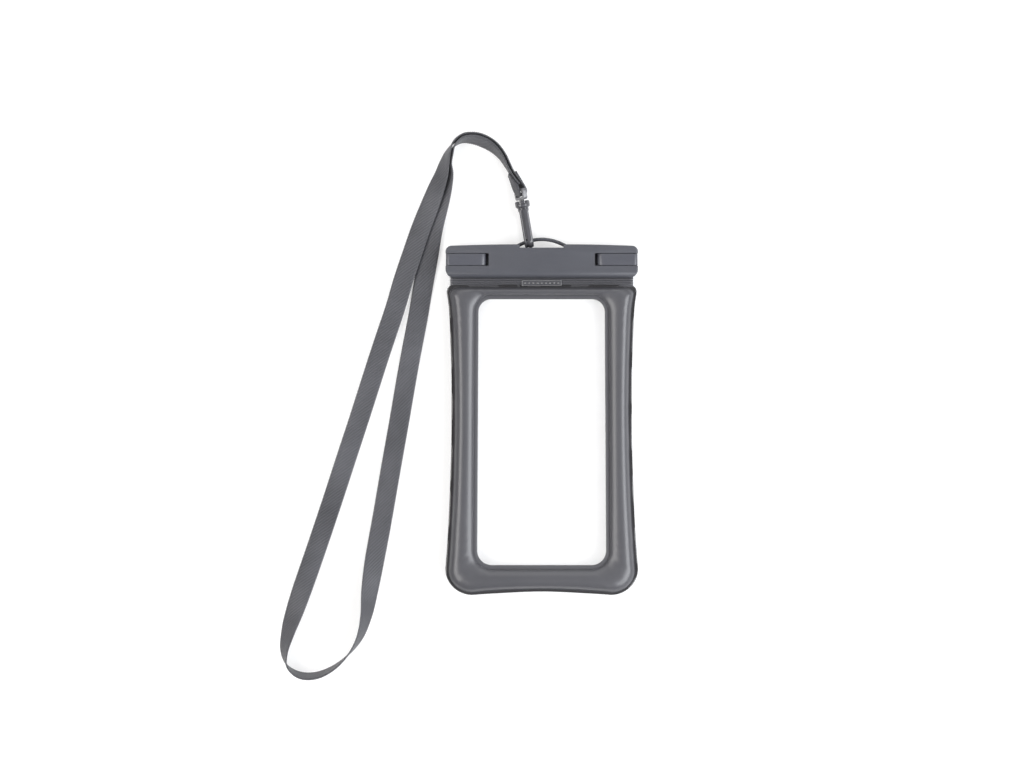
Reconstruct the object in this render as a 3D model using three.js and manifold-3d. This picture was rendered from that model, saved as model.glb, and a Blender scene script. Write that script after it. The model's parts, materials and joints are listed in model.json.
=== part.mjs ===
// Waterproof phone pouch with its neck lanyard, lying on its back. Millimetres.
// +X runs to the right, +Y towards the closure bar and +Z up.
// The origin is on the surface under the middle of the pouch.
import * as THREE from 'three';
import { mergeVertices } from 'three/addons/utils/BufferGeometryUtils.js';
import Module from 'manifold-3d';

const wasm = await Module();
wasm.setup();

// Clearances
const runningGap = 0.3;      // between pieces that move or that curve past each other
const weldGap = 0.1;         // between sheets that lie flat on each other

// Levels of the welded sheets
const weldLevel = 7.0;       // height of the seam between the two clear sheets
const filmThickness = 0.5;
const filmSpacing = 0.5;     // between the clear sheets at the seam
const pocketDepth = 4.8;     // between the clear sheets at the window
const skinThickness = 0.4;   // dark sheet of the air rings
const ringCrown = 7.0;       // height of each air ring over the weld level

// The pouch is about as wide as its closure bar, so its widths follow the bar's
const barHalf = 59.5;

// Outline of the pouch, as half widths and heights along Y
const pouchTop = 81.4;
const pouchBottom = -111.5;
const pouchBottomSag = 2.1;  // the bottom edge bows up in its middle
const pouchSides = [[-0.5, 76.5], [-2.4, 59.2], [-3.6, 9.6], [-2.8, -40], [-1.0, -77.2], [0.2, -95]]
  .map(([aside, y]) => [barHalf + aside, y]);
const shoulderRadius = 4.9;
const footRadius = 16.5;
const flangeWidth = 2.0;
const tubeTop = 79.5;        // where the inflated tube ends under the neck

// Window
const windowTop = 72.1;
const windowBottom = -92.9;
const windowHalfTop = barHalf - 20.3;
const windowHalfBottom = barHalf - 19.5;
const windowRadiusTop = 8;
const windowRadiusBottom = 9;
const landWidth = 2.2;       // flat weld round the window

// Closure bar
const barLow = 85.2;
const barHigh = 105.9;
const barCrown = 0.9;        // the top edge drops by this much towards its ends
const barTopRadius = 3.7;
const barFootRadius = 5.3;
const backJawTop = 6.2;
const frontJawFloor = 7.8;
const frontJawTop = 14.2;
const rollRadius = 3.6;      // rounded lower edge of the bar
const edgeRadius = 1.1;
const lipChamfer = 2.3;      // slope inside the bar's mouth, along Y
const lipChamferRise = 1.4;
const neckHalf = barHalf - 3.2;
const neckFilmHalf = neckHalf + 1.3;
const lipReach = 4.2;        // how far the clear sheets go into the bar

// Lanyard bow, moulded on the back jaw
const bowHalf = 16.8;
const bowReach = 110.4;
const bowWidth = 2.3;
const bowHeight = 2.3;
const bowFoot = barHigh - 1.85;  // where the bow's middle line is at its half length
const notchHalf = 13.6;
const notchDepth = 3.2;
const frontNotchDepth = 2.1;

// Latches
const latchMiddle = (barLow + barHigh) / 2 + 0.95;
const latchWidth = 7.1;
const channelWidth = 7.8;
const channelFloor = 11.4;
const pocketFloor = 9.4;
const channelInner = barHalf - 26.7;
const pocketOuter = barHalf - 19.5;
const latchTop = 13.9;
const latchThickness = 2.2;
const latchInner = channelInner + 1.2;
const latchTip = 10.2;
const latchPivotX = barHalf - 3.1;
const latchPivotZ = 3.2;
const knuckleRadius = 2.9;
const latchPinRadius = 1.0;
const latchPinLength = 16;

// Seal
const sealMiddle = 95;
const sealWidth = 3;
const sealHalf = barHalf - 8;
const sealGroove = 0.9;
const pegX = barHalf - 14.5;
const pegY = barHigh - 3.6;
const pegRadius = 1.3;
const pegHeight = 2.8;

// Neck pad
const padHalf = 12.5;
const padLow = 80.1;
const padHigh = 83.9;
const padHeight = 0.8;

// Hook, along its own axis from the collar's top. Its spine is up and its gate below.
const hookStart = new THREE.Vector3(-12.3, 133.1, 6.4);
const hookHeading = new THREE.Vector3(5.0, -29.6, 0).normalize();
const hookLength = 29.3;
const hookWidth = 5.6;
const hookHalfHeight = 5.4;
const hookRim = 1.6;
const grooveDepth = 0.5;     // groove moulded along the spine
const collarRadius = 4.65;
const collarLength = 6.8;
const collarBore = 1.9;
const swivelHeadRadius = 2.2;
const gateHinge = 9.4;
const gateHingeLevel = 3.9;
const gateEnd = 18.9;
const gatePinRadius = 0.6;

// Swivel eye and the webbing tab through it
const eyeReach = 7.6;
const eyeHalfHeight = 6.3;
const eyeStrand = 1.6;
const eyeWidth = 2.6;
const eyeLean = -25;         // turn of the eye and its tab about the hook's axis, in degrees
const postRadius = 1.5;
const tabHeight = 8.6;
const tabThickness = 0.9;
const tabInnerHalf = 2.2;    // half the room between the tab's legs
const tabTurn = -1.1;        // middle of the tab's round turn, from the eye's far strand
const tabLength = 5.2;       // how far the tab's legs reach past the far strand
const tabHeading = new THREE.Vector3(-0.45, 0.893, 0).normalize();

// Strap
const strapWidth = 12;
const strapThickness = 0.9;
const strapSpacing = 2.0;    // between the middles of the two layers in the arch
const strapSteps = 80;
const strapClear = 0.05;     // keeps the lower edge off the surface where the roll changes

// Colours
const paint = {
  bar: { color: 0x68696f, roughness: 0.5, metalness: 0 },
  latch: { color: 0x616268, roughness: 0.45, metalness: 0 },
  skin: { color: 0x58585d, roughness: 0.55, metalness: 0 },
  film: { color: 0xf4f4f6, roughness: 0.08, metalness: 0, transparent: true, opacity: 0.2 },
  seal: { color: 0xc9c9c9, roughness: 0.6, metalness: 0 },
  steel: { color: 0xb8b8ba, roughness: 0.3, metalness: 1 },
  hook: { color: 0x77787d, roughness: 0.3, metalness: 0 },
  strap: { color: 0x5f6066, roughness: 0.8, metalness: 0 },
};

// Solids and their joining

function toSolid(geometry) {
  geometry.deleteAttribute('normal');
  geometry.deleteAttribute('uv');
  const merged = mergeVertices(geometry, 1e-4);
  return new wasm.Manifold(new wasm.Mesh({
    numProp: 3,
    vertProperties: new Float32Array(merged.attributes.position.array),
    triVerts: new Uint32Array(merged.index.array),
  }));
}

function toGeometry(solid) {
  const mesh = solid.getMesh();
  const geometry = new THREE.BufferGeometry();
  geometry.setAttribute('position', new THREE.BufferAttribute(mesh.vertProperties, 3));
  geometry.setIndex(new THREE.BufferAttribute(mesh.triVerts, 1));
  geometry.computeVertexNormals();
  return geometry;
}

function joined(...solids) {
  return solids.reduce((whole, solid) => whole.add(solid));
}

function cut(solid, ...tools) {
  return tools.reduce((rest, tool) => rest.subtract(tool), solid);
}

function box(x0, x1, y0, y1, z0, z1) {
  const geometry = new THREE.BoxGeometry(x1 - x0, y1 - y0, z1 - z0);
  geometry.translate((x0 + x1) / 2, (y0 + y1) / 2, (z0 + z1) / 2);
  return toSolid(geometry);
}

function rod(start, end, radius, sides = 16) {
  const axis = new THREE.Vector3().subVectors(end, start);
  const geometry = new THREE.CylinderGeometry(radius, radius, axis.length(), sides);
  const turn = new THREE.Quaternion().setFromUnitVectors(new THREE.Vector3(0, 1, 0), axis.clone().normalize());
  geometry.applyQuaternion(turn);
  geometry.translate((start.x + end.x) / 2, (start.y + end.y) / 2, (start.z + end.z) / 2);
  return toSolid(geometry);
}

// Extrudes a profile drawn in two axes along the third one, from a start to an end
const planes = {
  XY: [[1, 0, 0], [0, 1, 0], [0, 0, 1]],
  YZ: [[0, 1, 0], [0, 0, 1], [1, 0, 0]],
  ZX: [[0, 0, 1], [1, 0, 0], [0, 1, 0]],
};

function prism(shape, plane, from, to, curveSegments = 6) {
  const geometry = new THREE.ExtrudeGeometry(shape, { depth: to - from, bevelEnabled: false, curveSegments });
  geometry.translate(0, 0, from);
  const [a, b, c] = planes[plane].map((axis) => new THREE.Vector3(...axis));
  geometry.applyMatrix4(new THREE.Matrix4().makeBasis(a, b, c));
  return toSolid(geometry);
}

// Rectangle with its own radius at each corner, counter-clockwise from the lower left
function roundedRectangle(x0, y0, x1, y1, [r0, r1, r2, r3]) {
  const shape = new THREE.Shape();
  shape.moveTo(x0 + r0, y0);
  shape.lineTo(x1 - r1, y0);
  if (r1 > 0) shape.absarc(x1 - r1, y0 + r1, r1, -Math.PI / 2, 0, false);
  shape.lineTo(x1, y1 - r2);
  if (r2 > 0) shape.absarc(x1 - r2, y1 - r2, r2, 0, Math.PI / 2, false);
  shape.lineTo(x0 + r3, y1);
  if (r3 > 0) shape.absarc(x0 + r3, y1 - r3, r3, Math.PI / 2, Math.PI, false);
  shape.lineTo(x0, y0 + r0);
  if (r0 > 0) shape.absarc(x0 + r0, y0 + r0, r0, Math.PI, Math.PI * 1.5, false);
  return shape;
}

function namedMesh(name, geometry, look) {
  const mesh = new THREE.Mesh(geometry, new THREE.MeshStandardMaterial(look));
  mesh.name = name;
  return mesh;
}

// Sheets lofted between matching loops

const loopCounts = { top: 3, shoulder: 5, side: 9, foot: 6, bottom: 3 };

// Right half of a closed outline from the middle of its top to the middle of its bottom
function halfOutline({ top, topRadius, sides, footRadius: foot, bottom, sag }) {
  const first = new THREE.Vector2(...sides[0]);
  const last = new THREE.Vector2(...sides[sides.length - 1]);
  const cornerTop = new THREE.Vector2(first.x - topRadius, top);
  const cornerFoot = new THREE.Vector2(last.x - foot, bottom);
  const round = 0.552;       // handle of a quarter circle, as a share of its radius
  const stretches = [
    [new THREE.LineCurve(new THREE.Vector2(0, top), cornerTop), loopCounts.top],
    [new THREE.CubicBezierCurve(
      cornerTop,
      new THREE.Vector2(cornerTop.x + topRadius * round, top),
      new THREE.Vector2(first.x, top - (top - first.y) * (1 - round)),
      first,
    ), loopCounts.shoulder],
    [new THREE.SplineCurve(sides.map((p) => new THREE.Vector2(...p))), loopCounts.side],
    [new THREE.CubicBezierCurve(
      last,
      new THREE.Vector2(last.x, last.y - (last.y - bottom) * round),
      new THREE.Vector2(last.x - foot * (1 - round), bottom),
      cornerFoot,
    ), loopCounts.foot],
    [new THREE.QuadraticBezierCurve(
      cornerFoot,
      new THREE.Vector2(cornerFoot.x / 2, bottom + sag),
      new THREE.Vector2(0, bottom + sag),
    ), loopCounts.bottom],
  ];
  const points = [new THREE.Vector2(0, top)];
  for (const [curve, count] of stretches) {
    points.push(...curve.getSpacedPoints(count).slice(1));
  }
  return points;
}

function wholeOutline(values) {
  const right = halfOutline(values);
  const left = right.slice(1, -1).reverse().map((p) => new THREE.Vector2(-p.x, p.y));
  return [...right, ...left];
}

const pouchEdge = wholeOutline({
  top: pouchTop,
  topRadius: shoulderRadius,
  sides: pouchSides,
  footRadius,
  bottom: pouchBottom,
  sag: pouchBottomSag,
});

const tubeEdge = wholeOutline({
  top: tubeTop,
  topRadius: shoulderRadius + flangeWidth,
  sides: pouchSides.map(([x, y]) => [x - flangeWidth, y - flangeWidth / 2]),
  footRadius: footRadius - flangeWidth,
  bottom: pouchBottom + flangeWidth,
  sag: pouchBottomSag,
});

function windowOutline(margin) {
  return wholeOutline({
    top: windowTop + margin,
    topRadius: windowRadiusTop + margin,
    sides: [
      [windowHalfTop + margin, windowTop - windowRadiusTop],
      [windowHalfBottom + margin, windowBottom + windowRadiusBottom],
    ],
    footRadius: windowRadiusBottom + margin,
    bottom: windowBottom - margin,
    sag: 0,
  });
}

const windowEdge = windowOutline(0);
const landEdge = windowOutline(landWidth);

function between(inner, outer, share, height) {
  return inner.map((p, i) => {
    const q = p.clone().lerp(outer[i], share);
    return new THREE.Vector3(q.x, q.y, height);
  });
}

function atHeight(loop, height) {
  return between(loop, loop, 0, height);
}

// Body whose skin runs through the loops in turn. A closed one ends where it starts, and an
// open one is capped at both ends by a fan to the loop's middle.
function loft(loops, closed) {
  const count = loops[0].length;
  const positions = loops.flat().flatMap((p) => [p.x, p.y, p.z]);
  const faces = [];
  const bands = closed ? loops.length : loops.length - 1;
  for (let band = 0; band < bands; band += 1) {
    const here = band * count;
    const next = ((band + 1) % loops.length) * count;
    for (let i = 0; i < count; i += 1) {
      const j = (i + 1) % count;
      faces.push(here + i, here + j, next + j, here + i, next + j, next + i);
    }
  }
  if (!closed) {
    const ends = [[0, true], [loops.length - 1, false]];
    for (const [band, first] of ends) {
      const middle = positions.length / 3;
      positions.push(0, (windowTop + windowBottom) / 2, loops[band][0].z);
      for (let i = 0; i < count; i += 1) {
        const a = band * count + i;
        const b = band * count + ((i + 1) % count);
        faces.push(...(first ? [middle, b, a] : [middle, a, b]));
      }
    }
  }
  const geometry = new THREE.BufferGeometry();
  geometry.setAttribute('position', new THREE.Float32BufferAttribute(positions, 3));
  geometry.setIndex(faces);
  return toSolid(geometry);
}

function mirroredDown(solid) {
  return solid.mirror([0, 0, 1]).translate([0, 0, 2 * weldLevel]);
}

// Clear sheet: flat at the window, sloping under the air ring to the seam, with a lip into the bar
const filmSeam = weldLevel + filmSpacing / 2;
const filmWindow = weldLevel + pocketDepth / 2;
const filmSlopeSteps = 3;

function filmSlope(share) {
  const fall = (1 - Math.cos(Math.PI * share)) / 2;
  return filmWindow + (filmSeam - filmWindow) * fall;
}

function frontFilm() {
  const under = [atHeight(windowEdge, filmWindow)];
  for (let i = 0; i <= filmSlopeSteps; i += 1) {
    under.push(between(landEdge, tubeEdge, i / filmSlopeSteps, filmSlope(i / filmSlopeSteps)));
  }
  under.push(atHeight(pouchEdge, filmSeam));
  const over = under.map((loop) => loop.map((p) => new THREE.Vector3(p.x, p.y, p.z + filmThickness)));
  const sheet = loft([...over, ...under.reverse()], false);
  const lipRoot = pouchTop - flangeWidth;
  const lip = box(-neckFilmHalf, neckFilmHalf, lipRoot, barLow + lipReach, filmSeam, filmSeam + filmThickness);
  return joined(sheet, lip);
}

// Air ring: a thin dark sheet, welded flat round the window, inflated, and flat again at the seam
const skinSeam = filmSeam + filmThickness + weldGap;
const skinLand = filmWindow + filmThickness + weldGap;
const tubeStepsOver = 10;
const tubeStepsUnder = 6;
const tubeFootInset = 0.03;  // the tube's inner face starts this share of its width further in
const tubeFullness = 1.2;    // over 1 the tube leaves its welds at a slope, not square

function tubeLoop(angle, thickness, squeeze) {
  const share = 0.5 - (0.5 - squeeze) * Math.cos(angle);
  const weld = skinLand + (skinSeam - skinLand) * share;
  const crown = weldLevel + ringCrown - skinThickness;
  const rise = (crown - weld) * Math.sin(angle) ** tubeFullness;
  return between(landEdge, tubeEdge, share, weld + rise + thickness);
}

function airRing() {
  const over = [atHeight(windowEdge, skinLand + skinThickness)];
  const under = [atHeight(windowEdge, skinLand)];
  for (let i = 0; i <= tubeStepsOver; i += 1) {
    over.push(tubeLoop((Math.PI * i) / tubeStepsOver, skinThickness, 0));
  }
  for (let i = 0; i <= tubeStepsUnder; i += 1) {
    under.push(tubeLoop((Math.PI * i) / tubeStepsUnder, 0, tubeFootInset));
  }
  over.push(atHeight(pouchEdge, skinSeam + skinThickness));
  under.push(atHeight(pouchEdge, skinSeam));
  const ring = loft([...under.reverse(), ...over], true);
  return joined(ring, ...neckBand());
}

// Neck: a flat band up to the bar with three welded ribs, left out under the raised pad
function neckBand() {
  const top = skinSeam + skinThickness;
  const band = box(-neckHalf, neckHalf, pouchTop - flangeWidth + 0.3, barLow + 0.9, skinSeam, top);
  const ribRadius = 0.45;
  const ribs = [84.5, 83.0, 81.5].map((y) => rod(
    new THREE.Vector3(-neckHalf + 1, y, top),
    new THREE.Vector3(neckHalf - 1, y, top),
    ribRadius,
    8,
  ));
  const padRoom = box(-padHalf - 0.5, padHalf + 0.5, padLow - 1, padHigh + 1, top, top + 2);
  return [band, ...ribs.map((rib) => cut(rib, padRoom))];
}

function neckPad() {
  const floor = skinSeam + skinThickness + weldGap;
  const pad = prism(roundedRectangle(-padHalf, padLow, padHalf, padHigh, [1, 1, 1, 1]), 'XY', floor, floor + padHeight, 3);
  const pips = [];
  const pipCount = 9;
  const pipHalf = 0.45;
  for (let i = 0; i < pipCount; i += 1) {
    const x = ((i + 0.5) / pipCount - 0.5) * (2 * padHalf - 3);
    pips.push(box(x - pipHalf, x + pipHalf, padLow + 1, padHigh - 1, floor + padHeight - 0.1, floor + padHeight + 0.3));
  }
  return joined(pad, ...pips);
}

// Closure bar

function barOutline() {
  const shape = new THREE.Shape();
  const sideTop = barHigh - barCrown;
  shape.moveTo(-barHalf + barFootRadius, barLow);
  shape.lineTo(barHalf - barFootRadius, barLow);
  shape.absarc(barHalf - barFootRadius, barLow + barFootRadius, barFootRadius, -Math.PI / 2, 0, false);
  shape.lineTo(barHalf, sideTop - barTopRadius);
  shape.absarc(barHalf - barTopRadius, sideTop - barTopRadius, barTopRadius, 0, Math.PI / 2, false);
  shape.quadraticCurveTo(barHalf / 2, barHigh, bowHalf, barHigh);
  shape.lineTo(-bowHalf, barHigh);
  shape.quadraticCurveTo(-barHalf / 2, barHigh, -barHalf + barTopRadius, sideTop);
  shape.absarc(-barHalf + barTopRadius, sideTop - barTopRadius, barTopRadius, Math.PI / 2, Math.PI, false);
  shape.lineTo(-barHalf, barLow + barFootRadius);
  shape.absarc(-barHalf + barFootRadius, barLow + barFootRadius, barFootRadius, Math.PI, Math.PI * 1.5, false);
  return shape;
}

// Side profile of a jaw from its inner face to its outer face, with the mouth's slope inside
function jawProfile(inner, outer) {
  const out = Math.sign(outer - inner);
  const shape = new THREE.Shape();
  shape.moveTo(barLow, inner + out * lipChamferRise);
  shape.lineTo(barLow + lipChamfer, inner);
  shape.lineTo(barHigh, inner);
  shape.lineTo(barHigh, outer - out * edgeRadius);
  shape.quadraticCurveTo(barHigh, outer, barHigh - edgeRadius, outer);
  shape.lineTo(barLow + rollRadius, outer);
  shape.quadraticCurveTo(barLow, outer, barLow, outer - out * rollRadius);
  return shape;
}

// Rounds the bar's two ends in the X and Z directions
function endProfile(inner, outer) {
  const low = Math.min(inner, outer);
  const high = Math.max(inner, outer);
  const lowRadius = outer > inner ? 0 : edgeRadius;
  const highRadius = outer > inner ? edgeRadius : 0;
  return roundedRectangle(low, -barHalf, high, barHalf, [lowRadius, highRadius, highRadius, lowRadius]);
}

function jawBlank(inner, outer) {
  const plan = prism(barOutline(), 'XY', Math.min(inner, outer), Math.max(inner, outer), 8);
  const side = prism(jawProfile(inner, outer), 'YZ', -barHalf, barHalf, 7);
  const ends = prism(endProfile(inner, outer), 'ZX', barLow, barHigh, 4);
  return plan.intersect(side).intersect(ends);
}

function latchSides(build) {
  return [-1, 1].map(build);
}

function across(side, x0, x1, y0, y1, z0, z1) {
  return side > 0 ? box(x0, x1, y0, y1, z0, z1) : box(-x1, -x0, y0, y1, z0, z1);
}

const channelLow = latchMiddle - channelWidth / 2;
const channelHigh = latchMiddle + channelWidth / 2;
const pinHoleRadius = latchPinRadius + runningGap;

function pinHole(side) {
  const x = side * latchPivotX;
  const top = latchMiddle + latchPinLength / 2 + runningGap;
  return rod(new THREE.Vector3(x, barLow - 1, latchPivotZ), new THREE.Vector3(x, top, latchPivotZ), pinHoleRadius);
}

function bow() {
  const middle = backJawTop - bowHeight / 2;
  const shares = [-1.12, -0.9, -0.65, -0.35, 0, 0.35, 0.65, 0.9, 1.12];
  const top = bowReach - bowWidth / 2;
  const path = new THREE.CatmullRomCurve3(
    shares.map((share) => new THREE.Vector3(share * bowHalf, top - (top - bowFoot) * share * share, middle)),
  );
  const section = new THREE.Shape();
  section.absellipse(0, 0, bowHeight / 2, bowWidth / 2, 0, Math.PI * 2, false, 0);
  const bar = toSolid(new THREE.ExtrudeGeometry(section, { steps: 24, extrudePath: path, curveSegments: 5 }));
  return bar.intersect(box(-bowHalf * 1.2, bowHalf * 1.2, barHigh - notchDepth, bowReach, 0, backJawTop));
}

function backJaw() {
  const blank = jawBlank(backJawTop, 0);
  const notch = box(-notchHalf, notchHalf, barHigh - notchDepth, barHigh + 5, -1, backJawTop + 1);
  const slots = latchSides((side) => across(
    side, latchPivotX - knuckleRadius - runningGap, barHalf + 1, channelLow, channelHigh, -1, backJawTop + 1,
  ));
  const pegs = latchSides((side) => rod(
    new THREE.Vector3(side * pegX, pegY, backJawTop - 1),
    new THREE.Vector3(side * pegX, pegY, backJawTop + pegHeight),
    pegRadius,
    12,
  ));
  const body = cut(blank, notch, ...slots, ...latchSides(pinHole));
  return joined(body, bow(), ...pegs);
}

function channel(side) {
  const arm = across(side, pocketOuter, barHalf + 1, channelLow, channelHigh, channelFloor, frontJawTop + 1);
  const end = across(
    side, latchPivotX + 0.2, barHalf + 1, channelLow, channelHigh, frontJawFloor - 1, channelFloor + 1,
  );
  const pocket = across(side, channelInner, pocketOuter + 0.1, channelLow, channelHigh, pocketFloor, frontJawTop + 1);
  return joined(arm, end, pocket);
}

function frontJaw() {
  const blank = jawBlank(frontJawFloor, frontJawTop);
  const notch = box(-notchHalf, notchHalf, barHigh - frontNotchDepth, barHigh + 1, frontJawFloor - 1, frontJawTop + 1);
  const groove = box(
    -sealHalf - runningGap, sealHalf + runningGap,
    sealMiddle - sealWidth / 2 - runningGap, sealMiddle + sealWidth / 2 + runningGap,
    frontJawFloor - 1, frontJawFloor + sealGroove,
  );
  const sockets = latchSides((side) => rod(
    new THREE.Vector3(side * pegX, pegY, frontJawFloor - 1),
    new THREE.Vector3(side * pegX, pegY, backJawTop + pegHeight + runningGap),
    pegRadius + runningGap,
    12,
  ));
  return cut(blank, notch, groove, ...sockets, ...latchSides(channel));
}

function sealStrip() {
  const shape = roundedRectangle(
    sealMiddle - sealWidth / 2, backJawTop + runningGap,
    sealMiddle + sealWidth / 2, frontJawFloor + sealGroove - runningGap,
    [0.5, 0.5, 0, 0],
  );
  return prism(shape, 'YZ', -sealHalf, sealHalf, 3);
}

// Latch: knuckle, leg up the bar's end, arm along its face and a fingertip curled into the pocket
function latch(side) {
  const legOuter = barHalf - 0.2;
  const bend = 2.4;
  const curl = 4.2;
  const shape = new THREE.Shape();
  shape.moveTo(latchPivotX + knuckleRadius * 0.9, latchPivotZ);
  shape.lineTo(legOuter, latchPivotZ + 1.5);
  shape.lineTo(legOuter, latchTop - bend);
  shape.quadraticCurveTo(legOuter, latchTop, legOuter - bend, latchTop);
  shape.lineTo(latchInner + curl, latchTop);
  shape.quadraticCurveTo(latchInner + 0.5, latchTop, latchInner, latchTip);
  shape.lineTo(latchInner + 1.6, latchTip);
  shape.quadraticCurveTo(
    latchInner + 1.9, latchTop - latchThickness, latchInner + curl + 0.6, latchTop - latchThickness,
  );
  shape.lineTo(legOuter - latchThickness - 1, latchTop - latchThickness);
  shape.quadraticCurveTo(
    legOuter - latchThickness, latchTop - latchThickness, legOuter - latchThickness, latchTop - latchThickness - 1,
  );
  shape.lineTo(legOuter - latchThickness, latchPivotZ + knuckleRadius * 0.6);
  shape.lineTo(latchPivotX, latchPivotZ);
  const low = latchMiddle - latchWidth / 2;
  const high = latchMiddle + latchWidth / 2;
  const profile = prism(flippedToZX(shape, side), 'ZX', low, high, 6);
  const x = side * latchPivotX;
  const knuckle = rod(new THREE.Vector3(x, low, latchPivotZ), new THREE.Vector3(x, high, latchPivotZ), knuckleRadius, 20);
  return cut(joined(profile, knuckle), pinHole(side));
}

// Redraws a shape given in X and Z as one in Z and X, mirrored for the left side
function flippedToZX(shape, side) {
  const points = shape.extractPoints(6).shape.map((p) => new THREE.Vector2(p.y, side * p.x));
  return new THREE.Shape(points);
}

function latchPin(side) {
  const x = side * latchPivotX;
  return rod(
    new THREE.Vector3(x, latchMiddle - latchPinLength / 2, latchPivotZ),
    new THREE.Vector3(x, latchMiddle + latchPinLength / 2, latchPivotZ),
    latchPinRadius,
    12,
  );
}

// Hook parts, drawn with X along the hook's axis, Y from its spine to its gate and Z across

const hookEndMiddle = hookLength - hookHalfHeight;
const openingHalf = hookHalfHeight - hookRim;

function slotShape(start, half) {
  const shape = new THREE.Shape();
  shape.moveTo(start, -half);
  shape.lineTo(hookEndMiddle, -half);
  shape.absarc(hookEndMiddle, 0, half, -Math.PI / 2, Math.PI / 2, false);
  shape.lineTo(start, half);
  return shape;
}

function alongHook(profile, sides = 24) {
  const geometry = new THREE.LatheGeometry(profile.map((p) => new THREE.Vector2(...p)), sides);
  geometry.rotateZ(-Math.PI / 2);
  return toSolid(geometry);
}

function snapHook() {
  const half = hookWidth / 2;
  const body = prism(slotShape(collarLength - 1, hookHalfHeight), 'XY', -half, half, 8);
  const opening = prism(slotShape(gateHinge + 2.4, openingHalf), 'XY', -half - 1, half + 1, 7);
  const gateRoom = box(gateHinge + 2, gateEnd + runningGap, openingHalf - 0.5, hookHalfHeight + 1, -half - 1, half + 1);
  const tongueHalf = hookWidth / 2 - 1.0;
  const tongueRoom = box(gateHinge - 1.8, gateHinge + 3, gateHingeLevel - 1.8, hookHalfHeight + 1, -tongueHalf, tongueHalf);
  const pinRoom = rod(
    new THREE.Vector3(gateHinge, gateHingeLevel, -half - 1),
    new THREE.Vector3(gateHinge, gateHingeLevel, half + 1),
    gatePinRadius + runningGap,
    12,
  );
  const collar = alongHook([
    [0, 0], [collarRadius - 0.5, 0], [collarRadius, 0.5], [collarRadius, 3.6], [collarRadius - 1.2, 4.6],
    [collarRadius - 1.2, collarLength - 0.6], [2.4, collarLength + 1.5], [0, collarLength + 1.5],
  ]);
  const socket = alongHook([
    [0, -1], [collarBore, -1], [collarBore, 3.4], [swivelHeadRadius + 0.4, 3.8],
    [swivelHeadRadius + 0.4, collarLength - 0.6], [0, collarLength - 0.6],
  ], 20);
  const groove = box(
    collarLength + 0.8, hookEndMiddle + 1, -hookHalfHeight - 1, -hookHalfHeight + grooveDepth, -half * 0.6, -half * 0.3,
  );
  const prongGap = box(-1, 2.2, -collarRadius - 1, collarRadius + 1, -collarBore - 0.5, collarBore + 0.5);
  return cut(joined(body, collar), opening, gateRoom, tongueRoom, pinRoom, socket, prongGap, groove);
}

function hookGate() {
  const half = hookWidth / 2;
  const tongueHalf = half - 1.0 - runningGap;
  const bladeLow = openingHalf + 0.1;
  const bladeStart = gateHinge + 2.6;
  const blade = prism(
    roundedRectangle(bladeStart, bladeLow, gateEnd, hookHalfHeight, [0.3, 0.5, 0.3, 0.3]), 'XY', -half, half, 3,
  );
  const tongue = box(
    gateHinge - 1.2, bladeStart + 0.5, gateHingeLevel - 0.9, hookHalfHeight - 0.2, -tongueHalf, tongueHalf,
  );
  const knuckle = rod(
    new THREE.Vector3(gateHinge, gateHingeLevel, -tongueHalf),
    new THREE.Vector3(gateHinge, gateHingeLevel, tongueHalf),
    1.4,
    16,
  );
  const pinRoom = rod(
    new THREE.Vector3(gateHinge, gateHingeLevel, -half - 1),
    new THREE.Vector3(gateHinge, gateHingeLevel, half + 1),
    gatePinRadius + runningGap,
    12,
  );
  return cut(joined(blade, tongue, knuckle), pinRoom);
}

function gatePin() {
  const half = hookWidth / 2;
  return rod(
    new THREE.Vector3(gateHinge, gateHingeLevel, -half),
    new THREE.Vector3(gateHinge, gateHingeLevel, half),
    gatePinRadius,
    12,
  );
}

function swivelEye() {
  const half = eyeWidth / 2;
  const outer = prism(
    roundedRectangle(-eyeReach, -eyeHalfHeight, -0.6, eyeHalfHeight, [2, 2, 2, 2]), 'XY', -half, half, 4,
  );
  const inner = prism(
    roundedRectangle(
      -eyeReach + eyeStrand, -eyeHalfHeight + eyeStrand, -0.6 - eyeStrand, eyeHalfHeight - eyeStrand, [1, 1, 1, 1],
    ),
    'XY', -half - 1, half + 1, 3,
  );
  const post = alongHook([
    [0, -1.2], [postRadius, -1.2], [postRadius, 4.1], [swivelHeadRadius, 4.5],
    [swivelHeadRadius, 5.4], [1.2, 5.9], [0, 5.9],
  ], 16);
  return joined(cut(outer, inner), post);
}

// Webbing tab: two legs and a round turn through the eye, standing on edge.
// X runs along the strap's heading from the eye's far strand, and Y across the legs.
function strapFold() {
  const inner = tabInnerHalf;
  const outer = inner + tabThickness;
  const shape = new THREE.Shape();
  shape.moveTo(tabLength, outer);
  shape.lineTo(tabLength, inner);
  shape.lineTo(tabTurn, inner);
  shape.absarc(tabTurn, 0, inner, Math.PI / 2, Math.PI * 1.5, false);
  shape.lineTo(tabLength, -inner);
  shape.lineTo(tabLength, -outer);
  shape.lineTo(tabTurn, -outer);
  shape.absarc(tabTurn, 0, outer, Math.PI * 1.5, Math.PI / 2, true);
  return prism(shape, 'XY', -tabHeight / 2, tabHeight / 2, 8);
}

// Strap. Each point is the strap's middle: X, Y, the gap left under its lower edge, and its roll
// in degrees about its heading, 0 lying flat and 90 standing on edge.

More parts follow.
